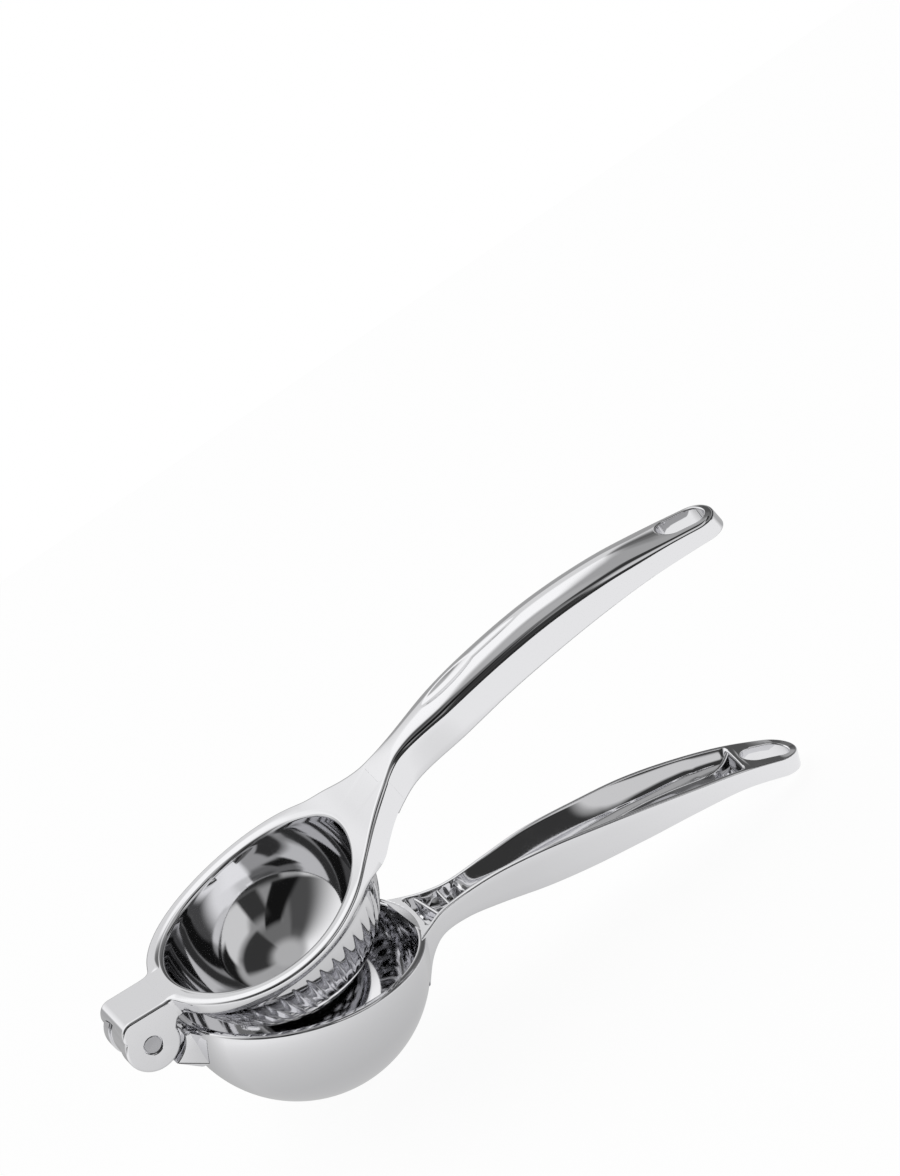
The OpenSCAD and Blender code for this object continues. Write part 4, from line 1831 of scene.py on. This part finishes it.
@dataclass(frozen=True)
class Studio:
    """Camera, white floor and the light round the object."""

    right: tuple[float, float, float] = (0.8214, -0.3720, -0.4325)
    up: tuple[float, float, float] = (0.5587, 0.3720, 0.7410)
    distance: float = 8.0
    pixels_per_mm: float = 3.935
    hinge_pixel: tuple[float, float] = (142.5, 1033.4)
    frame_px: tuple[int, int] = (900, 1176)
    sensor_mm: float = 36.0
    floor_half: float = 0.3
    paper: str = "#E8E8E8"
    bowl_foot: tuple[float, float, float] = (-0.0515, 0.0, 0.0)
    # Painted shade on the floor as the metal mirrors it: a darker glow near the bowl's foot and behind the
    # object.
    shade_reach: tuple[float, float] = (0.03, 0.14)
    shade_levels: tuple[float, float] = (0.58, 0.98)
    behind_shade_reach: tuple[float, float] = (0.0, 0.06)
    behind_shade_levels: tuple[float, float] = (1.0, 0.5)
    shown_level: float = 1.1
    shown_share: float = 0.85

    def camera(self, hinge: Sequence[float]) -> None:
        """Places the camera so that the hinge falls on its pixel of the frame, at the frame's scale.

        Args:
            hinge: place of the hinge in metres.
        """
        right, up = Vector(self.right).normalized(), Vector(self.up).normalized()
        back = right.cross(up).normalized()
        across = (self.hinge_pixel[0] - self.frame_px[0] / 2) / self.pixels_per_mm * MM
        above = (self.frame_px[1] / 2 - self.hinge_pixel[1]) / self.pixels_per_mm * MM
        aim = Vector(hinge) - right * across - up * above
        data = bpy.data.cameras.new("camera")
        data.sensor_width = self.sensor_mm
        data.lens = self.pixels_per_mm / MM * self.distance / max(self.frame_px) * data.sensor_width
        data.clip_end = 100.0
        camera = bpy.data.objects.new("camera", data)
        turn = Matrix((right, up, back)).transposed().to_4x4()
        camera.matrix_world = Matrix.Translation(aim + back * self.distance) @ turn
        bpy.context.scene.collection.objects.link(camera)
        bpy.context.scene.camera = camera

    def floor(self) -> None:
        """White floor that keeps the shadow and is pure white to the camera elsewhere.

        Mirrored in the metal it gives off a painted glow with painted shade: the level falls near the
        bowl's foot and behind the object, as the object's own shade would make it.
        """
        mesh = bpy.data.meshes.new("floor")
        half = self.floor_half
        corners_xy = ((-half, -half), (half, -half), (half, half), (-half, half))
        mesh.from_pydata([(x, y, 0.0) for x, y in corners_xy], [], [(0, 1, 2, 3)])
        plane = bpy.data.objects.new("floor", mesh)
        bpy.context.scene.collection.objects.link(plane)
        material = bpy.data.materials.new("white_paper_sweep")
        tree = blank_tree(material)
        paper = node(tree, "ShaderNodeBsdfDiffuse", {"Color": linear(self.paper)})
        place = node(tree, "ShaderNodeTexCoord").outputs["Object"]
        away = node(tree, "ShaderNodeVectorMath", {0: place, 1: self.bowl_foot}, operation="DISTANCE")
        across = node(tree, "ShaderNodeSeparateXYZ", {0: place})
        shades = []
        # Painted shade in the mirrored floor: its glow is dimmed near the bowl's foot and behind the object.
        for source, reach, levels in (
            (away.outputs["Value"], self.shade_reach, self.shade_levels),
            (across.outputs["Y"], self.behind_shade_reach, self.behind_shade_levels),
        ):
            ends = {"From Min": reach[0], "From Max": reach[1], "To Min": levels[0], "To Max": levels[1]}
            shades.append(node(tree, "ShaderNodeMapRange", {"Value": source, **ends}).outputs["Result"])
        shade = node(tree, "ShaderNodeMath", {0: shades[0], 1: shades[1]}, operation="MULTIPLY")
        path = node(tree, "ShaderNodeLightPath").outputs
        level = node(
            tree,
            "ShaderNodeMix",
            {"Factor": path["Is Camera Ray"], "A": shade.outputs[0], "B": self.shown_level},
            data_type="FLOAT",
        )
        white = node(tree, "ShaderNodeEmission", {"Strength": level.outputs["Result"]})
        shown = node(
            tree, "ShaderNodeMath", {0: path["Is Camera Ray"], 1: self.shown_share}, operation="MULTIPLY"
        )
        mirrored = node(
            tree,
            "ShaderNodeMath",
            {0: path["Is Glossy Ray"], 1: path["Is Transmission Ray"]},
            operation="MAXIMUM",
        )
        part = node(tree, "ShaderNodeMath", {0: mirrored.outputs[0], 1: shown.outputs[0]}, operation="ADD")
        both = node(
            tree,
            "ShaderNodeMixShader",
            {0: part.outputs[0], 1: paper.outputs["BSDF"], 2: white.outputs["Emission"]},
        )
        node(tree, "ShaderNodeOutputMaterial", {"Surface": both.outputs["Shader"]})
        mesh.materials.append(material)
        plane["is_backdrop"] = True

    def world(self) -> None:
        """Studio round the object: pale panels with dark gaps, and white behind for the camera."""
        world = bpy.data.worlds.new("studio")
        bpy.context.scene.world = world
        tree = blank_tree(world)
        compass = self.compass(tree)
        level: bpy.types.NodeSocket | float = ROOM_LEVEL
        for panel in PANELS:
            share = self.panel_share(tree, compass, panel)
            mixed = node(
                tree, "ShaderNodeMix", {"Factor": share, "A": level, "B": panel.level}, data_type="FLOAT"
            )
            level = mixed.outputs["Result"]
        room, backdrop = (
            node(tree, "ShaderNodeBackground", {"Color": linear("#FFFFFF"), "Strength": strength})
            for strength in (level, 1.0)
        )
        seen = node(tree, "ShaderNodeLightPath").outputs["Is Camera Ray"]
        both = node(
            tree,
            "ShaderNodeMixShader",
            {0: seen, 1: room.outputs["Background"], 2: backdrop.outputs["Background"]},
        )
        node(tree, "ShaderNodeOutputWorld", {"Surface": both.outputs["Shader"]})

    def panel_share(self, tree: bpy.types.NodeTree, compass: Compass, panel: Panel) -> bpy.types.NodeSocket:
        """Share of a panel in a direction: 1 inside its bounds, 0 past its soft edges.

        Args:
            tree: the world's node tree.
            compass: sockets of the direction's azimuth and elevation in degrees.
            panel: the panel.

        Returns:
            The socket that gives the share.
        """
        middle_az = sum(panel.azimuth) / 2
        middle_el = sum(panel.elevation) / 2
        high = node(tree, "ShaderNodeMath", {0: compass.elevation, 1: middle_el}, operation="SUBTRACT")
        shift = node(
            tree,
            "ShaderNodeMath",
            {0: high.outputs[0], 1: panel.lean, 2: middle_az},
            operation="MULTIPLY_ADD",
        )
        aside = node(tree, "ShaderNodeMath", {0: compass.azimuth, 1: shift.outputs[0]}, operation="SUBTRACT")
        around = node(tree, "ShaderNodeMath", {0: aside.outputs[0], 1: 180.0, 2: -180.0}, operation="WRAP")
        half_az = (panel.azimuth[1] - panel.azimuth[0]) / 2
        half_el = (panel.elevation[1] - panel.elevation[0]) / 2
        left, right, low, top = panel.fades
        edges = (
            (around, -half_az - left, -half_az),
            (around, half_az + right, half_az),
            (high, -half_el - low, -half_el),
            (high, half_el + top, half_el),
        )
        share: bpy.types.NodeSocket | float = 1.0
        for source, zero, one in edges:
            edge = node(
                tree,
                "ShaderNodeMapRange",
                {"Value": source.outputs[0], "From Min": zero, "From Max": one},
                interpolation_type="SMOOTHSTEP",
            )
            shares = {0: share, 1: edge.outputs["Result"]}
            share = node(tree, "ShaderNodeMath", shares, operation="MULTIPLY").outputs[0]
        return share

    def compass(self, tree: bpy.types.NodeTree) -> Compass:
        """Azimuth from the camera and elevation of the world's direction, in degrees.

        Args:
            tree: the world's node tree.

        Returns:
            Their sockets.
        """
        direction = node(tree, "ShaderNodeTexCoord").outputs["Generated"]
        unit = node(tree, "ShaderNodeVectorMath", {0: direction}, operation="NORMALIZE")
        parts = node(tree, "ShaderNodeSeparateXYZ", {0: unit.outputs["Vector"]})
        level = {0: parts.outputs["Y"], 1: parts.outputs["X"]}
        turn = node(tree, "ShaderNodeMath", level, operation="ARCTAN2")
        rise = node(tree, "ShaderNodeMath", {0: parts.outputs["Z"]}, operation="ARCSINE")
        back = Vector(self.right).cross(Vector(self.up))
        zero = -math.degrees(math.atan2(back.y, back.x))
        degrees = math.degrees(1.0)
        from_camera = {0: turn.outputs[0], 1: degrees, 2: zero}
        azimuth = node(tree, "ShaderNodeMath", from_camera, operation="MULTIPLY_ADD")
        elevation = node(tree, "ShaderNodeMath", {0: rise.outputs[0], 1: degrees}, operation="MULTIPLY")
        return Compass(azimuth.outputs[0], elevation.outputs[0])


# ---------------------------------------------------------------- assembly


# Reflections between cup, bowl and reeds are followed this far.
GLOSSY_BOUNCES = 6


def corners(box: tuple) -> list[list[float]]:
    """Lowest and highest corner of a box, as plain lists."""
    return [[float(v) for v in corner] for corner in box]


def dress(piece: bpy.types.Object, finish: bpy.types.Material, lever: Lever, cad: str) -> None:
    """Gives a piece its finish and its body, and hides the CAD node that it stands for.

    Args:
        piece: the visual piece.
        finish: its material.
        lever: lever that it moves with.
        cad: name of the CAD node.
    """
    piece.data.materials.clear()
    piece.data.materials.append(finish)
    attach(piece, lever.body)
    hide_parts(cad)
    LOG.info("%s rides on %s", piece.name, lever.body)


def main() -> None:
    """Builds both levers and the pin, dresses them and sets up the studio."""
    logging.basicConfig(level=logging.INFO, format="%(message)s")
    hinge = frame["joints"][0]["pos_m"]
    chrome = ChromePlate().make()
    steel = TurnedSteel().make(hinge)
    for part in (PressCup(), PressArm(), PressHandle()):
        dress(part.build(), chrome, Lever.PRESS, Lever.PRESS.node)
    for part in (BowlShell(), BowlArm(), BowlHandle()):
        dress(part.build(), chrome, Lever.BOWL, Lever.BOWL.node)
    dress(HingePin().build(), steel, Lever.PRESS, "hinge_pin")
    studio = Studio()
    studio.camera(hinge)
    studio.floor()
    studio.world()
    bpy.context.scene.view_settings.view_transform = "Standard"
    bpy.context.scene.cycles.glossy_bounces = GLOSSY_BOUNCES
    {"cad": corners(PACKED_BOX), "visual": corners(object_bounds())}


if __name__ == "__main__":
    main()
